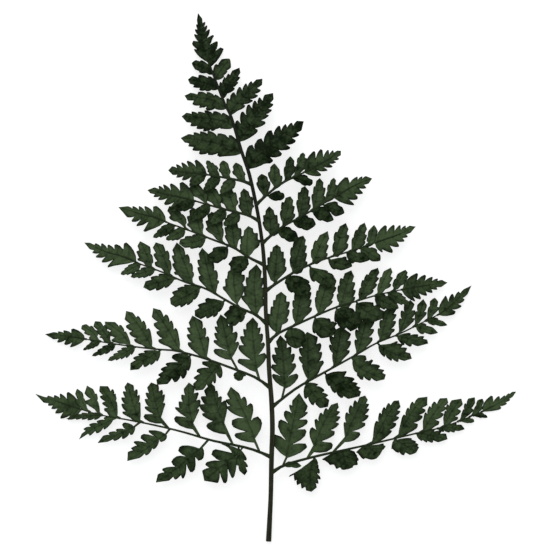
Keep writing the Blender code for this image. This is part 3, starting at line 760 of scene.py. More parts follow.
# The pinnae from the foot of the stem upwards. A leaflet is (x of its foot on the rib, its midrib, its first
# margin, its second margin), and a margin is the tips of its lobes or its half width. A last pair counts the
# lobes of each margin that are cut to the midrib.
cut_pinna(
    "pinna_left_1", pale_and_shade=0.08, cut=0.42, tip_height=-0.9,
    rib=((0.9, 59.5), (-9, 63.8), (-20, 67), (-40, 71), (-60, 76.8), (-80, 81.6), (-100, 85.5), (-120, 89),
         (-140, 95), (-152, 99), (-165, 103.5)),
    far=(
        (-9.3, ((-10.5, 70), (-13, 78), (-19, 92), (-27.5, 108.5)),
         ((-24.2, 75), (-26.2, 82.5), (-30, 94), (-30.8, 99), (-30, 103.5)),
         ((-6.8, 85.5), (-12.7, 96), (-17.5, 101), (-22, 104)), (2, 1)),
        (-28, ((-30.5, 76), (-32.5, 82), (-37, 96), (-41.5, 111)),
         ((-44, 81.5), (-46.8, 89.3), (-48.8, 95), (-48, 101), (-46, 106)),
         ((-31.2, 98.5), (-34, 101.2), (-37, 105.5), (-39, 109)), (1, 1)),
        (-51, ((-53.5, 79), (-55, 86), (-57, 98), (-57, 111.5)),
         ((-66.5, 86.5), (-66, 94), (-63.7, 97.8), (-62, 102.5), (-60.3, 107)),
         ((-50, 92.5), (-49.2, 98.5), (-50.5, 104), (-53, 108.5)), (1, 0)),
        (-73, ((-75, 82), (-77, 87), (-80.5, 98), (-83.5, 111.5)),
         ((-88, 88), (-87.4, 94), (-87.5, 99.5), (-87, 104), (-86, 108)),
         ((-73.8, 96.5), (-74.3, 103), (-75.8, 106), (-78.5, 109.5)), (1, 0)),
        (-90.5, ((-92, 87), (-95, 94), (-98, 103), (-100, 111.5)),
         ((-103, 90.5), (-103.8, 96), (-104, 100.5), (-103, 105), (-102, 108.5)),
         ((-91.3, 97.5), (-91.8, 102.5), (-93.3, 106.3), (-96, 109.5))),
        (-107, ((-108.5, 91), (-111.5, 98), (-119.5, 109)),
         ((-116, 92.3), (-117.4, 97), (-119.2, 101.5), (-119.8, 105.5)),
         ((-107.7, 98), (-108.7, 103.5), (-110.5, 106.5), (-114, 108.7))),
        (-119.5, ((-120.5, 94), (-123, 100), (-128.5, 109.3)), ((-129.3, 97.5), (-130, 104)),
         ((-120.7, 98), (-121.8, 103.5), (-124.3, 106.8))),
        (-128, ((-131, 97), (-135.5, 107)), ((-136.5, 98), (-136.6, 103.5)),
         ((-130, 99.5), (-131.7, 104.3)))),
    near=(
        (-19, ((-22, 62), (-29, 57), (-38, 49.5), (-46, 42.8)),
         ((-33.5, 68.6), (-39.7, 63.5), (-44.5, 55), (-47.3, 49.5)),
         ((-26.3, 45.3), (-31.5, 41.6), (-37, 41.6)), (2, 2)),
        (-22, ((-21, 57), (-17.8, 46.8)), ((-23, 54), (-21.3, 50)),
         ((-16.5, 58.5), (-15.6, 53), (-16, 49.5))),
        (-43, ((-47.5, 66.5), (-54, 61), (-66, 51), (-80, 41.5)),
         ((-63, 66), (-67.5, 58), (-75, 51), (-78.5, 47)),
         ((-48.2, 57.8), (-54.5, 49.3), (-61, 44.8), (-66, 44), (-71, 43)), (2, 2)),
        (-70, ((-73, 75.5), (-79, 71), (-88, 64), (-100, 56.5)),
         ((-84.5, 77.7), (-90, 74), (-95, 69.7), (-97, 65.5), (-99.5, 62.5)),
         ((-73.8, 71), (-80.5, 65.5), (-86, 61), (-91.5, 58.8)), (2, 1)),
        (-91, ((-94.5, 81), (-99, 78.5), (-109, 74), (-121, 69)),
         ((-102.5, 83), (-107.5, 78.7), (-112.5, 76.5), (-117, 74)),
         ((-96.5, 75.2), (-102.5, 72.3), (-108, 71), (-114, 70)), (1, 0)),
        (-108, ((-112, 84.8), (-118, 82), (-125, 78.3), (-134, 71.5)),
         ((-116, 87), (-121, 84.5), (-126.5, 82), (-130.5, 79), (-132, 75.5)),
         ((-116, 78.8), (-120.5, 76.3), (-126, 74.5), (-130, 74))),
        (-117.5, ((-123, 88.2), (-132, 88), (-143, 86)), 3.4, 2.8)),
    blade=(-132, ((-142, 104.3), (-147.3, 103.3), (-151, 102.3), (-155.5, 102), (-159.5, 101.6)),
           ((-141.5, 85.7), (-147, 86.8), (-150.7, 90.3), (-153.5, 93.3), (-155.8, 95.5), (-159, 97.5))))
cut_pinna(
    "pinna_right_1", pale_and_shade=0.02, cut=0.42, tip_height=-0.9,
    rib=((1.0, 48.5), (10.5, 54), (27, 58.7), (45, 62.9), (65, 67.2), (88, 72.5), (107, 77), (120, 79.9),
         (135, 85.2), (150, 91.5), (162, 97.5), (173, 105)),
    far=(
        (11, ((11.7, 60), (12.7, 66), (14.5, 75), (17, 87), (20.5, 104)),
         ((1.5, 72.5), (6.6, 84.3), (10.3, 90.7), (13.8, 95.7), (16, 99)),
         ((25.3, 66.5), (25, 77.5), (26, 84.5), (26, 90.5), (26, 95)), (3, 3)),
        (28, ((30.5, 64), (32, 70), (37, 82), (43, 92), (47.5, 97.3)),
         ((28.7, 79.3), (31.7, 85.3), (35.5, 90), (39, 93.2), (43, 95.7)),
         ((43.3, 68), (44.7, 75.7), (47.8, 82.3), (49, 87), (48.9, 91), (48.2, 94)), (1, 1)),
        (46, ((50.5, 66.5), (52.5, 72), (58, 85), (63, 95), (66.8, 102.3)),
         ((52, 83.2), (53.5, 90), (56.3, 95), (59.5, 98.7), (63, 101)),
         ((62.8, 75.2), (66.3, 81.8), (68.7, 88), (69.3, 92.8), (69.3, 96.2), (68.5, 99.3)), (0, 1)),
        (70, ((73.5, 72), (77, 79), (82, 88), (87, 95), (90.5, 98.9)),
         ((74.3, 84), (77, 90), (80, 94), (83, 96.7), (87, 98.5)),
         ((85, 77.5), (88, 82), (90.2, 87), (91.2, 91), (91.5, 94.5))),
        (89, ((92, 78), (97, 87), (103.5, 96), (110.5, 101.5)),
         ((93.5, 88.5), (96.5, 93.5), (99.7, 97.7), (104, 100.5)),
         ((103, 80.7), (106.5, 87), (108.7, 91.5), (110.3, 95.7))),
        (107, ((110, 82), (116, 91), (124.3, 100.6)), ((109, 90.2), (112, 94.6), (115, 97.7), (119.5, 100.2)),
         ((118.2, 82.6), (121.5, 88.7), (124, 93.5), (125, 97.3))),
        (122, ((124, 85), (128.5, 92.5), (134.3, 100.1)), ((123, 91.5), (124.5, 96), (127.7, 98.8)),
         ((131.7, 86.3), (133.7, 91), (135.2, 96.3))),
        (133.5, ((136, 88.5), (143.8, 101)), ((135.7, 92.5), (136.8, 96.5), (139.3, 100)),
         ((142.2, 91.5), (143.8, 97))),
        (141.7, ((144, 91.5), (149.2, 100)), ((144, 94.5), (145.8, 98.8)), ((149.2, 93.5), (150, 97.3)))),
    near=(
        (9.8, ((15, 54), (22, 53.2)), ((13, 56.3), (18, 56)), ((13, 52.3), (18.5, 51.8))),
        (31, ((30.5, 56), (28.5, 50), (28, 44), (29, 35)),
         ((14, 45.4), (17.8, 42.8), (19.5, 40), (22.5, 37.5), (25.5, 36)),
         ((33.4, 54.8), (33.8, 52), (34.4, 48.4), (34.9, 43.8), (33.7, 41), (32.5, 38))),
        (50.5, ((51, 62), (52.3, 57), (54, 50.8)), ((37.5, 57.8), (41.8, 55), (46.5, 51.8), (50.3, 50.8)),
         ((59, 62.7), (60.5, 60.2), (61.5, 57.5), (61, 54.5), (57.8, 51.6))),
        (69, ((70, 66), (73, 63), (76.5, 60.5)), ((61, 62.7), (64.8, 58.7), (69, 58.2)),
         ((79, 68.5), (80.5, 66.6), (80, 63.8))),
        (87.5, ((89.5, 70.5), (95, 67), (102.5, 62.5)), ((85.3, 65.5), (89.3, 62.8), (93, 61), (98, 61)),
         ((99, 72), (102, 70), (103.7, 68), (105, 65.5))),
        (102, ((107, 75.5), (115, 73.8), (124.5, 71.7)),
         ((106.3, 70.8), (109.8, 69.8), (113.5, 69.5), (118, 69.8)),
         ((115, 78.6), (119.7, 77.3), (123.5, 75.3))),
        (117, ((123, 80), (136.6, 78.7)), ((121.5, 77), (125.5, 76.6), (129, 76.6), (132.3, 77.5)),
         ((130.5, 82.8), (134.2, 81.7))),
        (133, ((137, 84.7), (143.3, 84)), ((138.5, 83), (140.7, 83)), ((139.8, 86.7), (142.3, 86))),
        (142.5, ((146.5, 88.3), (152.7, 86.8)), ((147.5, 86.6), (150, 86.6)), ((149, 90), (151.5, 88.7)))),
    blade=(148, ((155.5, 101.8), (160.7, 101.6), (164.7, 102.2), (167.7, 103.7), (170.3, 104.8)),
           ((161.8, 93), (166.3, 96.5), (168.5, 99), (170.5, 101.5))))
cut_pinna(
    "pinna_left_2", pale_and_shade=0.12, cut=0.38, tip_height=2.0,
    rib=((0.1, 108.2), (-10, 115.3), (-25, 121.2), (-45, 128.4), (-65, 133.8), (-80, 135), (-100, 137.4),
         (-120, 140.4), (-140, 143.7), (-158, 145.3)),
    far=(
        (-9.2, ((-9.5, 121), (-11, 135), (-12.3, 147), (-12.1, 157.2)),
         ((-22, 127), (-21.5, 136), (-20.5, 143.4), (-18.4, 148.8), (-16.5, 152.5)),
         ((-3, 131), (-4, 138.5), (-5.3, 145), (-6.9, 150), (-8.6, 153)), (1, 1)),
        (-24.5, ((-26.5, 127), (-29, 135), (-32, 148), (-34.7, 159.3)),
         ((-39, 134), (-39, 140.5), (-38.7, 145.8), (-38.5, 150.5), (-37.5, 154)),
         ((-22, 139), (-23.3, 146.3), (-26.5, 151.8), (-30, 155.7)), (1, 0)),
        (-43.5, ((-45.5, 132), (-48.5, 142), (-51.5, 151), (-54.5, 158.5)),
         ((-57, 138.5), (-57.8, 144.5), (-57.8, 149.7), (-56.8, 153.5)),
         ((-43, 143), (-45.3, 149.5), (-47.8, 154.5))),
        (-62.5, ((-65, 138), (-71, 148), (-77, 157), (-82, 163.7)),
         ((-77.5, 140.6), (-79, 146.3), (-81, 151.6), (-82.7, 157.7)),
         ((-65.5, 149), (-69, 154.6), (-72, 158.5), (-77, 162.2))),
        (-82, ((-84, 139), (-90, 149), (-96, 156.5), (-101, 161.7)),
         ((-94.5, 141), (-98, 146), (-100.5, 150.5), (-101.8, 156)),
         ((-84.5, 149), (-88.5, 154.6), (-92, 157.7), (-96.5, 160.5))),
        (-97.5, ((-99.5, 140.5), (-105, 147), (-116, 154.2)), ((-110.5, 141), (-113, 145.5), (-115.3, 150)),
         ((-101, 147), (-105, 151.8), (-109, 153.8))),
        (-112, ((-114.5, 144.5), (-122.8, 154.4)), ((-119, 143), (-121.8, 147), (-123.7, 151)),
         ((-113, 147.5), (-115.5, 151.5), (-119, 154))),
        (-120.5, ((-123.5, 146), (-132, 151.5)), ((-126.5, 142.5), (-130, 146), (-132.3, 149)),
         ((-121.5, 148), (-125, 151), (-129, 152.3)))),
    near=(
        (-17.5, ((-19.8, 117.3), (-22.6, 113)), ((-25.1, 118), (-25, 115.3)), ((-17, 116.5), (-19.3, 113.9))),
        (-34.5, ((-38, 121), (-45, 113), (-52, 106)),
         ((-47, 125.8), (-50.5, 120.4), (-53, 114.8), (-53.7, 110.5)),
         ((-34.5, 115.2), (-38.5, 111.5), (-42.5, 108.8), (-47, 106.8)), (1, 1)),
        (-55, ((-60, 126.5), (-70, 117.5), (-79, 110)),
         ((-68, 130.2), (-72.5, 124.6), (-76, 121), (-78, 117), (-79.3, 113.5)),
         ((-57, 120.4), (-60.5, 115), (-65.5, 112.5), (-72, 110.8)), (1, 0)),
        (-76, ((-83, 130), (-91, 125.5), (-97.8, 120.2)),
         ((-88, 133.5), (-92, 131.4), (-95.3, 129), (-97.5, 125)),
         ((-79, 126.7), (-83, 124.2), (-87, 122.8), (-92, 121))),
        (-94, ((-102, 132.3), (-113.7, 127)), 4.0, 4.2),
        (-108, ((-114, 135.2), (-124.7, 130.2)), 3.4, 3.4),
        (-119, ((-124, 138), (-131, 134.3)), 2.6, 2.6)),
    blade=(-128.5, ((-138, 149), (-144.5, 147.9), (-148.5, 147.2), (-152, 146.7)),
           ((-140, 136.7), (-143.5, 138.2), (-149, 139.8), (-152, 142))))
cut_pinna(
    "pinna_right_2", pale_and_shade=0.02, cut=0.38, tip_height=2.0,
    rib=((1.2, 94.5), (8, 100), (20, 108.8), (40, 120), (60, 131), (75, 139.6), (90, 145.4), (105, 152.8),
         (120, 160.3), (130, 168.3), (141.5, 179.6)),
    far=(
        (10, ((10.2, 107), (9.8, 118), (8.8, 133), (7.2, 144.7)),
         ((1.9, 117), (1.3, 122.5), (1.7, 130.4), (3.3, 135.5), (4.4, 140.2)),
         ((19.3, 116.6), (17.8, 123.6), (16.9, 131.2), (14.6, 136.1), (11.5, 140)), (1, 1)),
        (26.7, ((26.7, 118), (26.5, 130), (26, 147)), ((22.6, 124), (20.4, 129), (20.5, 135), (21.5, 141)),
         ((37.1, 125.7), (35.9, 132.5), (35.4, 138), (33, 143.5))),
        (44.9, ((46, 128), (48, 138), (50, 150.7)), ((43.8, 131.5), (41.6, 137.4), (42, 143.5), (45, 148)),
         ((55.3, 133.4), (56.3, 139.7), (56.3, 145.8))),
        (60.8, ((62.5, 136), (65, 146), (68.5, 157)), ((59.4, 141), (60, 148), (62.2, 153.3)),
         ((71.4, 141.8), (72.6, 148), (72.9, 153.7))),
        (77.2, ((78.5, 146), (81, 155), (85, 165.7)), ((75.7, 149), (77, 154.5), (79.5, 160.8)),
         ((86.9, 148.4), (87.9, 153.9), (88.4, 158.7), (88.7, 163.5))),
        (90.4, ((92.8, 151), (96, 160), (98.6, 169.4)), ((90.6, 156), (92, 161.5), (94.3, 166)),
         ((101, 156), (101.8, 161), (101.2, 166.5))),
        (101.9, ((103.8, 156.5), (106.2, 163), (107.6, 170)), ((102, 160.5), (103.4, 165.8)),
         ((109.6, 160), (110, 165.5))),
        (110.5, ((112.3, 160), (114.3, 165), (115.6, 170.9)), ((111.2, 164), (112.4, 168.5)),
         ((118.3, 163.5), (117.9, 168)))),
    near=(
        (24.5, ((26.5, 108.5), (33, 100.5), (40.5, 94.7)),
         ((33, 110.6), (37.4, 106.6), (40.3, 103), (41.3, 99.3)), ((24.5, 101), (29.4, 96.4), (35, 94))),
        (38, ((43, 112.5), (52, 106.5), (62.7, 102)),
         ((53.2, 118.7), (58.5, 114.1), (61.3, 110.6), (63.1, 107.9), (63.7, 105.2)),
         ((40.9, 109.6), (45.1, 104.7), (49.8, 101.2), (55, 100.5))),
        (57, ((62, 122.3), (71, 117.5), (80, 113.8)),
         ((66.5, 130), (71.5, 126.9), (76.4, 123.2), (79.8, 120), (81, 117)),
         ((60.5, 118.9), (64.5, 113.9), (69.4, 113.2), (74.5, 112.7))),
        (75, ((80, 134.8), (90, 130.5), (99.3, 128.3)),
         ((89.1, 139.8), (92.4, 138), (95.5, 135.6), (98, 132)),
         ((79.8, 129.8), (84.7, 127.2), (89, 126.3), (94, 126.9))),
        (87.8, ((94, 143), (102, 140.7), (110.8, 138.9)),
         ((98, 146), (103.5, 145), (107.7, 143.8), (110, 141.5)), ((93.4, 138), (98, 137), (103.5, 137.2))),
        (101.5, ((107, 149.5), (117.6, 146.4)), ((108, 152.9), (113.5, 150.3)),
         ((105.8, 145.8), (112.3, 145.3))),
        (109, ((114.5, 154.4), (124.3, 151.7)), ((116.3, 157), (121, 154.6)), ((114, 151.8), (119.3, 151)))),
    blade=(117, ((123.3, 172), (127.8, 173.4), (132, 174.9), (136, 176.8)),
           ((129.5, 160.2), (134, 164.9), (136, 169), (138.5, 173.5))))
cut_pinna(
    "pinna_left_3", pale_and_shade=0.08, cut=0.22, tip_height=4.5,
    rib=((-2.5, 153), (-10, 159.2), (-20, 163.4), (-30, 168.9), (-45, 177.4), (-60, 182.2), (-75, 188.8),
         (-90, 194.3), (-102.6, 199.8), (-115, 203.2), (-130.3, 209.6)),
    far=(
        (-9.5, ((-9.8, 165), (-11, 180), (-9.5, 194.5)),
         ((-19.5, 171.4), (-18, 177.5), (-16.5, 184.6), (-14.5, 189.5)),
         ((-4.3, 169), (-3.8, 176), (-4.5, 183.5), (-6, 189.5))),
        (-23, ((-24, 173), (-25.5, 185), (-22, 197.5)),
         ((-32.6, 178.2), (-31, 184), (-29.4, 188.8), (-27, 194)),
         ((-18.5, 178.8), (-18, 185.8), (-18.5, 191.8))),
        (-38.7, ((-40.5, 179), (-44, 192), (-47.6, 206)),
         ((-49.5, 184.6), (-50.4, 191.4), (-50.6, 196.5), (-49.9, 201.8)),
         ((-35.8, 182), (-37, 188.6), (-39.7, 195.5), (-43.2, 201.5))),
        (-54.8, ((-56.5, 187), (-61, 198), (-65.4, 209.8)),
         ((-66.5, 188.4), (-67.9, 194), (-68.4, 199.6), (-68.2, 204.5)),
         ((-53.5, 188.5), (-54.6, 194), (-57, 200.3), (-60.5, 205.5))),
        (-70.2, ((-71.5, 192), (-75.5, 201), (-80.1, 209.8)), ((-80.1, 194.3), (-81.2, 200.7), (-82, 206.2)),
         ((-69.7, 196.6), (-71.2, 203), (-75, 208))),
        (-83.1, ((-84.5, 197), (-91.1, 210.6)), ((-92.4, 197.9), (-93.2, 202.8), (-92.8, 207.3)),
         ((-82.7, 200.7), (-84.5, 206.8)))),
    near=(
        (-17, ((-20, 159), (-28, 151.5)), ((-27.4, 165), (-31.4, 159.8), (-31.3, 154.5)),
         ((-16.6, 160), (-19.2, 154.8), (-24.2, 151.6))),
        (-31, ((-37, 165.5), (-52.5, 158.2)), ((-44, 170.3), (-49.8, 166), (-52.5, 162)),
         ((-35.5, 161.3), (-39, 157.8), (-43.4, 156.9), (-48.5, 156.2))),
        (-48, ((-54, 174.5), (-69.4, 166.5)),
         ((-59.5, 179.7), (-64.2, 177.4), (-67.9, 174.8), (-69.8, 170.5)),
         ((-52.5, 170), (-57, 166.3), (-62, 164.6), (-66, 164.5))),
        (-65.3, ((-73, 183), (-88.6, 178.2)), ((-77, 187.5), (-82.5, 185.5), (-87, 182.3)),
         ((-72.5, 178.2), (-78.5, 176.3), (-84, 176))),
        (-80, ((-87, 189), (-97.5, 185.6)), 4.2, 4.0),
        (-90.3, ((-96.5, 191.5), (-104.5, 187.5)), 4.2, 3.6)),
    blade=(-92.5,
           ((-101, 209.2), (-107.9, 208.1), (-113, 207.9), (-117.8, 208.9), (-121.8, 208.9), (-126.5, 209.5)),
           ((-113.5, 192.8), (-117.5, 196.2), (-121.8, 199.6), (-124.2, 202.6), (-126.5, 205.3))))
cut_pinna(
    "pinna_right_3", pale_and_shade=0.0, cut=0.22, tip_height=4.5,
    rib=((-1.4, 139.5), (4.9, 145.6), (15, 150.7), (30, 157.5), (45, 163.9), (60, 168.5), (75, 172.9),
         (90, 176.2), (105, 178.9), (124.5, 181.5)),
    far=(
        (5, ((4.3, 151), (6, 163), (7.8, 175.2)), ((-1.5, 158.8), (0.8, 164), (2.5, 169), (4.4, 172.7)),
         ((12.3, 155.6), (13.3, 161.5), (13.5, 167.5), (11.4, 172))),
        (18, ((18.7, 157), (21, 170), (24, 184.7)), ((15.8, 162.5), (16, 168.5), (17.3, 173.5), (19, 179)),
         ((28.8, 162.8), (28.7, 169), (28.6, 174), (28.2, 179.3))),
        (33.7, ((35, 164.5), (38.5, 176), (43.5, 188)),
         ((31.8, 171.1), (32.8, 175.5), (34.8, 180), (37.5, 185)),
         ((43.4, 168.3), (44.3, 173), (46, 177.5), (46.3, 183))),
        (48.5, ((50, 167.5), (53, 178), (57, 190.2)), ((47, 173), (47.8, 179), (49.3, 184), (52.5, 188)),
         ((59.1, 170.8), (59.5, 175.5), (59.3, 180.5), (58.8, 186))),
        (62.5, ((64, 173), (68.5, 182), (75.7, 192)), ((62.8, 177.5), (64.7, 183), (67.5, 187), (71, 190.2)),
         ((72, 175.4), (74.6, 180), (76, 184.3), (76.6, 188.5))),
        (75.6, ((77, 177.5), (80.5, 185), (84.7, 192)), ((76, 181), (77.3, 185), (80, 189.5)),
         ((84.3, 179.5), (85.7, 184.6), (85.8, 189))),
        (86.8, ((88.5, 180.5), (95.1, 190.5)), ((87, 183.5), (89.7, 187.7)),
         ((95.5, 182), (96.7, 185.5), (96.5, 188.5)))),
    near=(
        (14.5, ((15.5, 144), (18.7, 135.5)), ((10.3, 144.2), (12.5, 138.7)),
         ((23.9, 146), (24.8, 141), (22.5, 137))),
        (31, ((35, 151.5), (44, 144.6)), ((41.5, 155.8), (46.2, 153), (46.8, 148)),
         ((30.2, 147.2), (36, 143))),
        (46, ((51.5, 157), (61, 149.7)), ((57.8, 162.7), (63.5, 159.9), (64.5, 154.5)),
         ((45.5, 154.5), (50, 149.8), (56.5, 147.7))),
        (60, ((66.5, 161.5), (78.5, 156.3)), ((71.5, 167.5), (77, 165), (80, 161.2)),
         ((60.5, 159), (64.5, 155.5), (71.5, 153.8))),
        (73, ((80, 168), (90, 163.6)), 5.6, 5.4),
        (82, ((88.5, 171), (97.5, 166.3)), 4.8, 4.4)),
    blade=(91.5, ((103.1, 187.7), (108.6, 186.6), (113.8, 185.3), (117.5, 184.2), (120.5, 183.3)),
           ((101.5, 169), (105.3, 170.4), (109.7, 172.8), (113.6, 174.7), (117, 176.8), (120, 178.6))))
cut_pinna(
    "pinna_left_4", pale_and_shade=0.08, cut=0.14, tip_height=7.0,
    rib=((-4.1, 194), (-14.7, 199.1), (-25, 205.8), (-40, 211.6), (-54.8, 217.4), (-70, 222.9), (-80, 227.1),
         (-90, 229.5), (-106.2, 234.4)),
    far=(
        (-16, ((-16.3, 206), (-15.2, 221.2)), ((-20.8, 207.5), (-20.3, 213), (-18, 218)),
         ((-8.8, 206.3), (-7.4, 210.5), (-8.8, 215.5), (-12, 219.2))),
        (-24.4, ((-25.5, 212), (-27.5, 226.7)), ((-31.2, 213.5), (-31.5, 219.5), (-30, 224)),
         ((-20, 213), (-20.3, 218.5), (-23, 223.5))),
        (-33.5, ((-35.5, 216), (-41, 231.2)), ((-44.4, 218.8), (-44.7, 224), (-43.8, 228.5)),
         ((-32.8, 219), (-33.7, 225), (-37, 229.5))),
        (-47.5, ((-49.5, 221), (-54, 234.2)), ((-57.5, 221.8), (-57.8, 227.1), (-56.5, 231.7)),
         ((-46.8, 222.5), (-47.5, 227.5), (-50.5, 232))),
        (-59.1, ((-61.5, 225), (-70.5, 235.2)), ((-69.8, 226.3), (-71.8, 231.8)),
         ((-60.3, 228.5), (-64.5, 233.3)))),
    near=(
        (-16.5, ((-19, 196), (-25.3, 189.5)), ((-25.8, 199), (-28.5, 194.8), (-28, 191.3)),
         ((-15, 194.5), (-18, 190.3), (-21.7, 188.5))),
        (-29, ((-34, 202.5), (-43.3, 196.7)), ((-38.7, 206), (-43.5, 201)), ((-31, 198.5), (-36.5, 195.3))),
        (-44.2, ((-52, 210), (-63.5, 208.7)), ((-53, 215), (-58.5, 213.8), (-62.5, 211.8)),
         ((-48.5, 206.2), (-54, 205.3), (-59.5, 206))),
        (-59, ((-64.5, 215.7), (-72.7, 211.7)), 4.4, 4.2),
        (-66, ((-73, 218.5), (-81.8, 213.2)), 4.6, 3.8)),
    blade=(-72, ((-79.7, 234.8), (-87.7, 234.8), (-91.3, 234.8), (-95.9, 234.9), (-99.5, 234.9)),
           ((-88, 218), (-93.3, 221.7), (-96.5, 224.6), (-100, 227.7))))
cut_pinna(
    "pinna_right_4", pale_and_shade=0.0, cut=0.14, tip_height=7.0,
    rib=((-3.2, 175.5), (1.9, 179.3), (10, 184.6), (20, 190.5), (35, 197), (50, 201.7), (65, 206.4),
         (80, 211.7), (90, 215.2), (102.1, 220.8)),
    far=(
        (3.5, ((3.2, 184), (4.5, 196), (4.8, 208.3)),
         ((-2.3, 192.8), (-1.5, 198.5), (0.3, 202.8), (2, 206.2)),
         ((11.2, 191.2), (10.6, 197.5), (9.4, 202.7), (7.3, 206.2))),
        (16, ((17, 191.5), (20, 203), (23.3, 214.5)), ((14.1, 198), (14.7, 205), (17, 210.8), (20, 213.3)),
         ((25.7, 194.8), (25.5, 200.7), (25.5, 206.7), (25, 211.3))),
        (30, ((31.5, 198), (35.5, 208), (40.5, 217.7)), ((29, 204), (31.2, 210), (34.9, 214.6)),
         ((39.8, 200.5), (40.5, 206.4), (41.3, 212.3))),
        (44.3, ((45.5, 202.5), (49, 213), (53.2, 223.4)), ((44, 208), (45.3, 215.8), (49, 220.9)),
         ((54.2, 206.6), (55.1, 213.5), (54.8, 219))),
        (57.3, ((58.5, 206.5), (61.5, 215), (66.4, 223.7)), ((57.4, 212), (60, 218), (63, 221.7)),
         ((66.3, 209.5), (67.4, 214), (67.8, 219))),
        (67.2, ((69.5, 209.5), (73, 222)), ((67.9, 212.5), (69, 217.5)), ((74.5, 212.5), (75.3, 217.5)))),
    near=(
        (13.5, ((17.5, 181.5), (26, 172.5)), ((22.7, 185), (26.8, 182.5), (28.6, 177.5)),
         ((10.6, 181.3), (13.7, 175.8), (19, 172.5))),
        (27, ((33, 187.5), (45, 178)), ((39.8, 189.6), (44, 186.5), (46.3, 182.3)),
         ((29.5, 183), (35.5, 180.3), (40.5, 177.8))),
        (40, ((46, 195.5), (57.5, 193)), ((52.6, 199.5), (56, 196.6)), ((44, 191.2), (50, 190.3))),
        (53, ((59, 200), (69.5, 197.3)), ((58.5, 204), (66, 202)), ((56.3, 195.5), (63, 195.5))),
        (62.5, ((67, 203.5), (77.1, 196.8)), ((68, 206.7), (73.9, 205), (77, 200.8)),
         ((65.5, 199.5), (71.3, 196.6)))),
    blade=(73, ((80.8, 221.3), (86.7, 221.6), (91.2, 221.6), (94.7, 221.3), (98, 221.3)),
           ((78.5, 203.2), (85.4, 203), (89.9, 207), (94, 210.9), (96.1, 213.6), (98.5, 216.7))))
cut_pinna(
    "pinna_left_5", pale_and_shade=0.0, cut=0.13, tip_height=9.5,
    rib=((-7.5, 224.5), (-14.7, 228.3), (-25, 231.1), (-40, 235), (-54.8, 239.3), (-70, 242.9),
         (-85.8, 246.3)),
    far=(
        (-14.1, ((-15.5, 233.5), (-18.4, 247.5)), ((-21.8, 234.7), (-21.6, 240.3), (-20.7, 244.3)),
         ((-11.4, 235), (-12.3, 240.5), (-15, 245))),
        (-24.4, ((-26, 236.5), (-31, 249.4)), ((-33.8, 237.5), (-35.3, 242.8), (-34.3, 247)),
         ((-22.5, 238.7), (-23.8, 243.7), (-27, 247.7))),
        (-34.8, ((-37, 239.2), (-43.9, 250)), ((-44.8, 239.3), (-46.2, 243), (-46.2, 247)),
         ((-34, 241.5), (-37.5, 246.8))),
        (-44.5, ((-47, 242), (-54.8, 251)), ((-55.2, 243), (-56.4, 247.5)), ((-45, 245.5), (-49.5, 249.8)))),
    near=(
        (-21, ((-25, 226.8), (-32.3, 221.6)), 4.9, 4.7),
        (-30.5, ((-35, 228.5), (-42.3, 222)), 4.9, 4.7),
        (-41.5, ((-47.5, 231), (-55.8, 225)), 4.8, 4.6),
        (-52, ((-59, 235.7), (-69.6, 232)), 4.4, 3.8)),
    blade=(-52, ((-61.5, 251.4), (-69.4, 250.5), (-74.6, 249.9), (-77.6, 249), (-81, 248)),
           ((-66, 233.5), (-69.6, 233.4), (-73.3, 236.3), (-78, 239.7), (-81.2, 241.7), (-83.6, 244.1))))
cut_pinna(
    "pinna_right_5", pale_and_shade=-0.2, cut=0.13, tip_height=9.5,
    rib=((-5.5, 208.8), (0, 213.8), (10, 221.3), (20, 226.6), (35, 235.4), (50, 244.3), (60, 250),
         (71.5, 254.4)),
    far=(
        (0.8, ((0.3, 219), (0, 227), (-0.6, 235)), ((-4.9, 223.3), (-4.6, 228), (-3, 231.8)),
         ((6.4, 221.8), (5, 228), (2.5, 232))),
        (9.2, ((10.5, 225), (14.2, 242)), ((7.2, 230.5), (8.3, 237.2), (11, 240.8)),
         ((17.3, 228.3), (17, 234), (16.2, 239.2))),
        (20, ((21.5, 230.5), (24.5, 249.2)), ((18.6, 237.8), (19.8, 244.3), (22, 247.8)),
         ((28.2, 234.8), (27.9, 240.5), (27.1, 245.8))),
        (30.2, ((31.5, 236.5), (34.8, 254.8)), ((29.2, 242.3), (30.6, 248), (32.5, 252.7)),
         ((38.3, 240), (38.6, 246.9), (37.3, 251.7))),
        (37.5, ((40.5, 242), (44.7, 255)), ((39.7, 244.5), (40.5, 249.5), (42.6, 253.3)),
         ((47.5, 245), (47, 249), (46.2, 253)))),
    near=(
        (5, ((9.5, 216.3), (19.7, 211.3)), ((13.4, 220.2), (18, 217)), ((8.2, 213), (13.4, 210.1))),
        (15.5, ((21, 223.6), (32, 222)), ((24.9, 228.5), (29.9, 226.3)), ((20.2, 219.8), (26, 218.2))),
        (28.5, ((33.5, 229.9), (44.5, 225.3)), ((37.3, 234.3), (41.5, 230.8)), ((34, 225.3), (40, 223.8))),
        (36.5, ((41.5, 234), (52, 230.2)), ((46.1, 237.9), (50.3, 234.3)), ((40.5, 231.5), (46, 228)))),
    blade=(44, ((52.7, 254.8), (61.1, 255.5), (64.5, 255.7), (67.2, 255.9)),
           ((58.5, 236.4), (60.8, 240.4), (64.6, 244.1), (67, 247.8), (69, 251))))
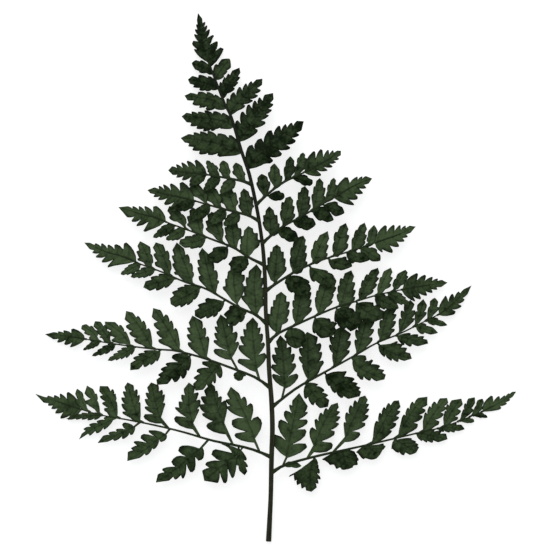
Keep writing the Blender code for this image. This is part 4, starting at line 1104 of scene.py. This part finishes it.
cut_pinna(
    "pinna_left_6", pale_and_shade=-0.05, cut=0.12, tip_height=11.0,
    rib=((-13, 250.3), (-20, 252.6), (-30, 254.5), (-40, 256.3), (-50, 257.8), (-60, 258.7), (-71.2, 260)),
    far=(
        (-18.1, ((-20, 256.5), (-23.9, 265.5)), ((-26, 258.3), (-26, 262.5)), ((-17.4, 257.7), (-19.8, 263))),
        (-28.7, ((-30, 258.2), (-32.9, 267)), ((-35.5, 259.8), (-35.3, 264)), ((-27.8, 260), (-29.4, 264.7))),
        (-37, ((-39.2, 259.5), (-44.3, 267)), 4.3, 4.1)),
    near=(
        (-24, ((-28, 250.3), (-34.7, 244)), 4.7, 4.5),
        (-34.5, ((-39, 252.3), (-46.3, 245.6)), 4.5, 4.3),
        (-45, ((-49.5, 254.2), (-56.3, 249.2)), 3.9, 3.7)),
    blade=(-43.5, ((-51.8, 267), (-57.9, 266.3), (-61.8, 265.2), (-65.5, 264), (-68.5, 262.7)),
           ((-50.5, 252.5), (-56, 252), (-61, 253.3), (-65.3, 255.2), (-68, 257))))
cut_pinna(
    "pinna_right_6", pale_and_shade=-0.25, cut=0.12, tip_height=11.0,
    rib=((-9.8, 235.8), (0, 244.7), (10, 251.8), (20, 256.6), (30, 261.9), (40, 267.2), (49.6, 273.7)),
    far=(
        (-4, ((-4.3, 246), (-5.9, 257.6)), ((-9.3, 250.6), (-8.7, 254.7)), ((0, 251), (-2, 255.3))),
        (3.5, ((3.4, 252.5), (3, 265)), ((-1.2, 257.5), (0.3, 262.2)), ((8.5, 254.6), (6.6, 260.3))),
        (10.7, ((11.8, 256.5), (14.2, 270)), ((9.8, 261.3), (11.3, 266.7)), ((18.1, 261.1), (16.9, 266.7))),
        (17, ((18.8, 260.5), (23.1, 272.6)), ((18.6, 264), (19.3, 268.5), (21.3, 271.5)),
         ((26, 263.5), (25.7, 268), (24.6, 271)))),
    near=(
        (-2.5, ((1, 241.8), (10.2, 241.3)), ((5.8, 245.6), (9.2, 244.1)), ((4, 238.7), (7.5, 239))),
        (15.5, ((20.5, 253.6), (29.7, 250.6)), ((24.5, 256.6), (29.5, 253.3)),
         ((19.6, 251.8), (24, 249.3), (27.7, 249.1)))),
    blade=(23, ((31.1, 273.1), (35.7, 274.4), (40.8, 274.2), (44, 273.9), (47, 273.8)),
           ((35.2, 256.6), (40, 260.2), (43.5, 262.7), (46, 265.8), (48.1, 268), (49.5, 270.8))))


# Lobed pinnae and the frond's tip
# Near its tip the frond's side branches are undivided blades with lobed margins, and it ends in one more.
# Each sits on the stem by a short stalk.
LOBED_STALK = 0.1
TIP_STALK = 0.55
PALE_LOBED = -0.05


def lobed_pinna(name, tip_height, cut, midrib, far, near):
    """A blade along its midrib in plan, from the stem's height to tip_height, with its lobes' tips."""
    line = smooth_line([(x, y, 0.0) for x, y in midrib], PINNA_STEPS)
    top = stem_height(line[0].x, line[0].y)

    def blade_height(share):
        return top - (top - tip_height) * share * share

    is_tip = name == "tip"
    stalk = TIP_STALK if is_tip else LOBED_STALK
    falls = by_hand(line, FAR_LOBE_FALL, MARGIN_FALL)
    full_bases = (True, True) if is_tip else by_hand(line, True, False)
    sides = both_sides(line, far, near)
    blade = leaf_blade(line, sides, blade_height, falls, (0, 0), stalk, cut, full_bases, PALE_LOBED, chance)
    pinna = joined(f"{name}_leaf", [blade])
    thickened(pinna)
    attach(pinna, "root")
    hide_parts(name)


# The lobed pinnae from the foot of the stem upwards, and the tip.
lobed_pinna(
    "pinna_right_7", tip_height=12.0, cut=0.5,
    midrib=((-15.2, 260.3), (-10, 268.3), (0, 276.5), (10, 283.2), (23.6, 294.3)),
    far=((-14, 277), (-7.6, 281.4), (-0.6, 287.3), (6.1, 290.7), (11, 292), (14.8, 293), (19, 294.5)),
    near=((1.2, 266.3), (7.4, 270.7), (13.5, 275.3), (17.4, 280), (20.2, 284.8), (22, 288.3)))
lobed_pinna(
    "pinna_left_7", tip_height=10.5, cut=0.3,
    midrib=((-19.2, 271.5), (-30, 277.1), (-50, 281.2), (-62.5, 282.7)),
    far=((-27.2, 284.2), (-34.4, 285.4), (-42.6, 287.2), (-48.3, 286.9), (-52.9, 286.4), (-57, 285.2)),
    near=((-34.9, 269.8), (-42.6, 271.3), (-48.7, 271.7), (-53.6, 274.3), (-56.7, 277), (-59.5, 279.6)))
lobed_pinna(
    "pinna_right_8", tip_height=10.0, cut=0.6,
    midrib=((-21.7, 279.5), (-18, 285), (-10, 296.6), (-5, 303.4), (2.2, 314.2)),
    far=((-23.2, 294.3), (-19.4, 300.5), (-15, 305.6), (-10.5, 308.5), (-7.3, 310.8), (-3.5, 312.8)),
    near=((-9, 287.2), (-3.5, 293.1), (-1.1, 298.4), (1, 302.2), (2.1, 306), (2.4, 310)))
lobed_pinna(
    "pinna_left_8", tip_height=8.5, cut=0.3,
    midrib=((-24.9, 290.2), (-32, 294.3), (-45, 296.4), (-61.9, 297.9)),
    far=((-32.3, 300), (-38.5, 301.1), (-45.2, 301.8), (-49.8, 300.9), (-54.5, 301), (-58.5, 300.2)),
    near=((-34, 289.3), (-40.6, 288.1), (-46.2, 287.8), (-50.6, 289.4), (-55.2, 291.3), (-58.3, 294)))
lobed_pinna(
    "pinna_right_9", tip_height=7.5, cut=0.5,
    midrib=((-27.6, 298.3), (-24.6, 304.4), (-15, 315.2), (-5.3, 324.4)),
    far=((-30, 310.1), (-26, 314.1), (-21.3, 318.1), (-16.8, 320.7), (-13.3, 322.2), (-9.5, 323.6)),
    near=((-17.7, 304.8), (-12.4, 308.7), (-8.8, 312.2), (-6.8, 315.8), (-5.6, 320.2)))
lobed_pinna(
    "pinna_left_9", tip_height=6.5, cut=0.3,
    midrib=((-30.1, 303.4), (-40, 309), (-50, 311.1), (-59.9, 312.6)),
    far=((-38, 312.9), (-43.7, 314.7), (-48.5, 315), (-55.5, 314.3)),
    near=((-38, 303.2), (-43.7, 302.3), (-48.9, 304.1), (-53.1, 306), (-57.8, 309.4)))
lobed_pinna(
    "pinna_right_10", tip_height=5.0, cut=0.3,
    midrib=((-33.2, 310.5), (-28.7, 320.1), (-21.4, 332.3)),
    far=((-34.8, 321.6), (-31.8, 325.2), (-29.3, 327.5), (-26.2, 330)),
    near=((-30.3, 313), (-25, 317.1), (-22.5, 321.6), (-21.1, 325.1), (-20.8, 328.8)))
lobed_pinna(
    "pinna_left_10", tip_height=4.5, cut=0.25,
    midrib=((-35.9, 317.5), (-45.1, 321.1), (-57.5, 323.9)),
    far=((-42.1, 325.7), (-48.6, 326.9), (-54.5, 326.2)),
    near=((-40.3, 316.4), (-44.7, 315.9), (-48.5, 316.2), (-53.3, 318.5), (-56, 321)))
lobed_pinna(
    "pinna_right_11", tip_height=4.0, cut=0.3,
    midrib=((-38.3, 323.6), (-34, 331), (-28.2, 338.5)),
    far=((-38.6, 333.6), (-33.8, 337.9)),
    near=((-32.5, 325.8), (-30.3, 329.1), (-27.6, 332.5)))
lobed_pinna(
    "pinna_left_11", tip_height=2.0, cut=0.2,
    midrib=((-40.0, 327.8), (-46.5, 331.8), (-54.9, 335.6)),
    far=((-47.5, 337.1), (-52, 337.5)),
    near=((-43.1, 327.6), (-49, 328.9), (-52.3, 331.1)))
lobed_pinna(
    "tip", tip_height=-0.9, cut=0.9,
    midrib=((-41.3, 331.5), (-44.1, 338.6), (-46.6, 346), (-47.6, 352), (-49.1, 361), (-50.6, 371)),
    far=((-33.4, 345.4), (-37.4, 350.5), (-40, 355), (-42.7, 359.3), (-44.4, 362), (-45.7, 364.5),
         (-47.8, 367)),
    near=((-53, 345.3), (-54.3, 349.3), (-53, 355.7), (-52.5, 359), (-51.8, 362.5), (-51.3, 366)))
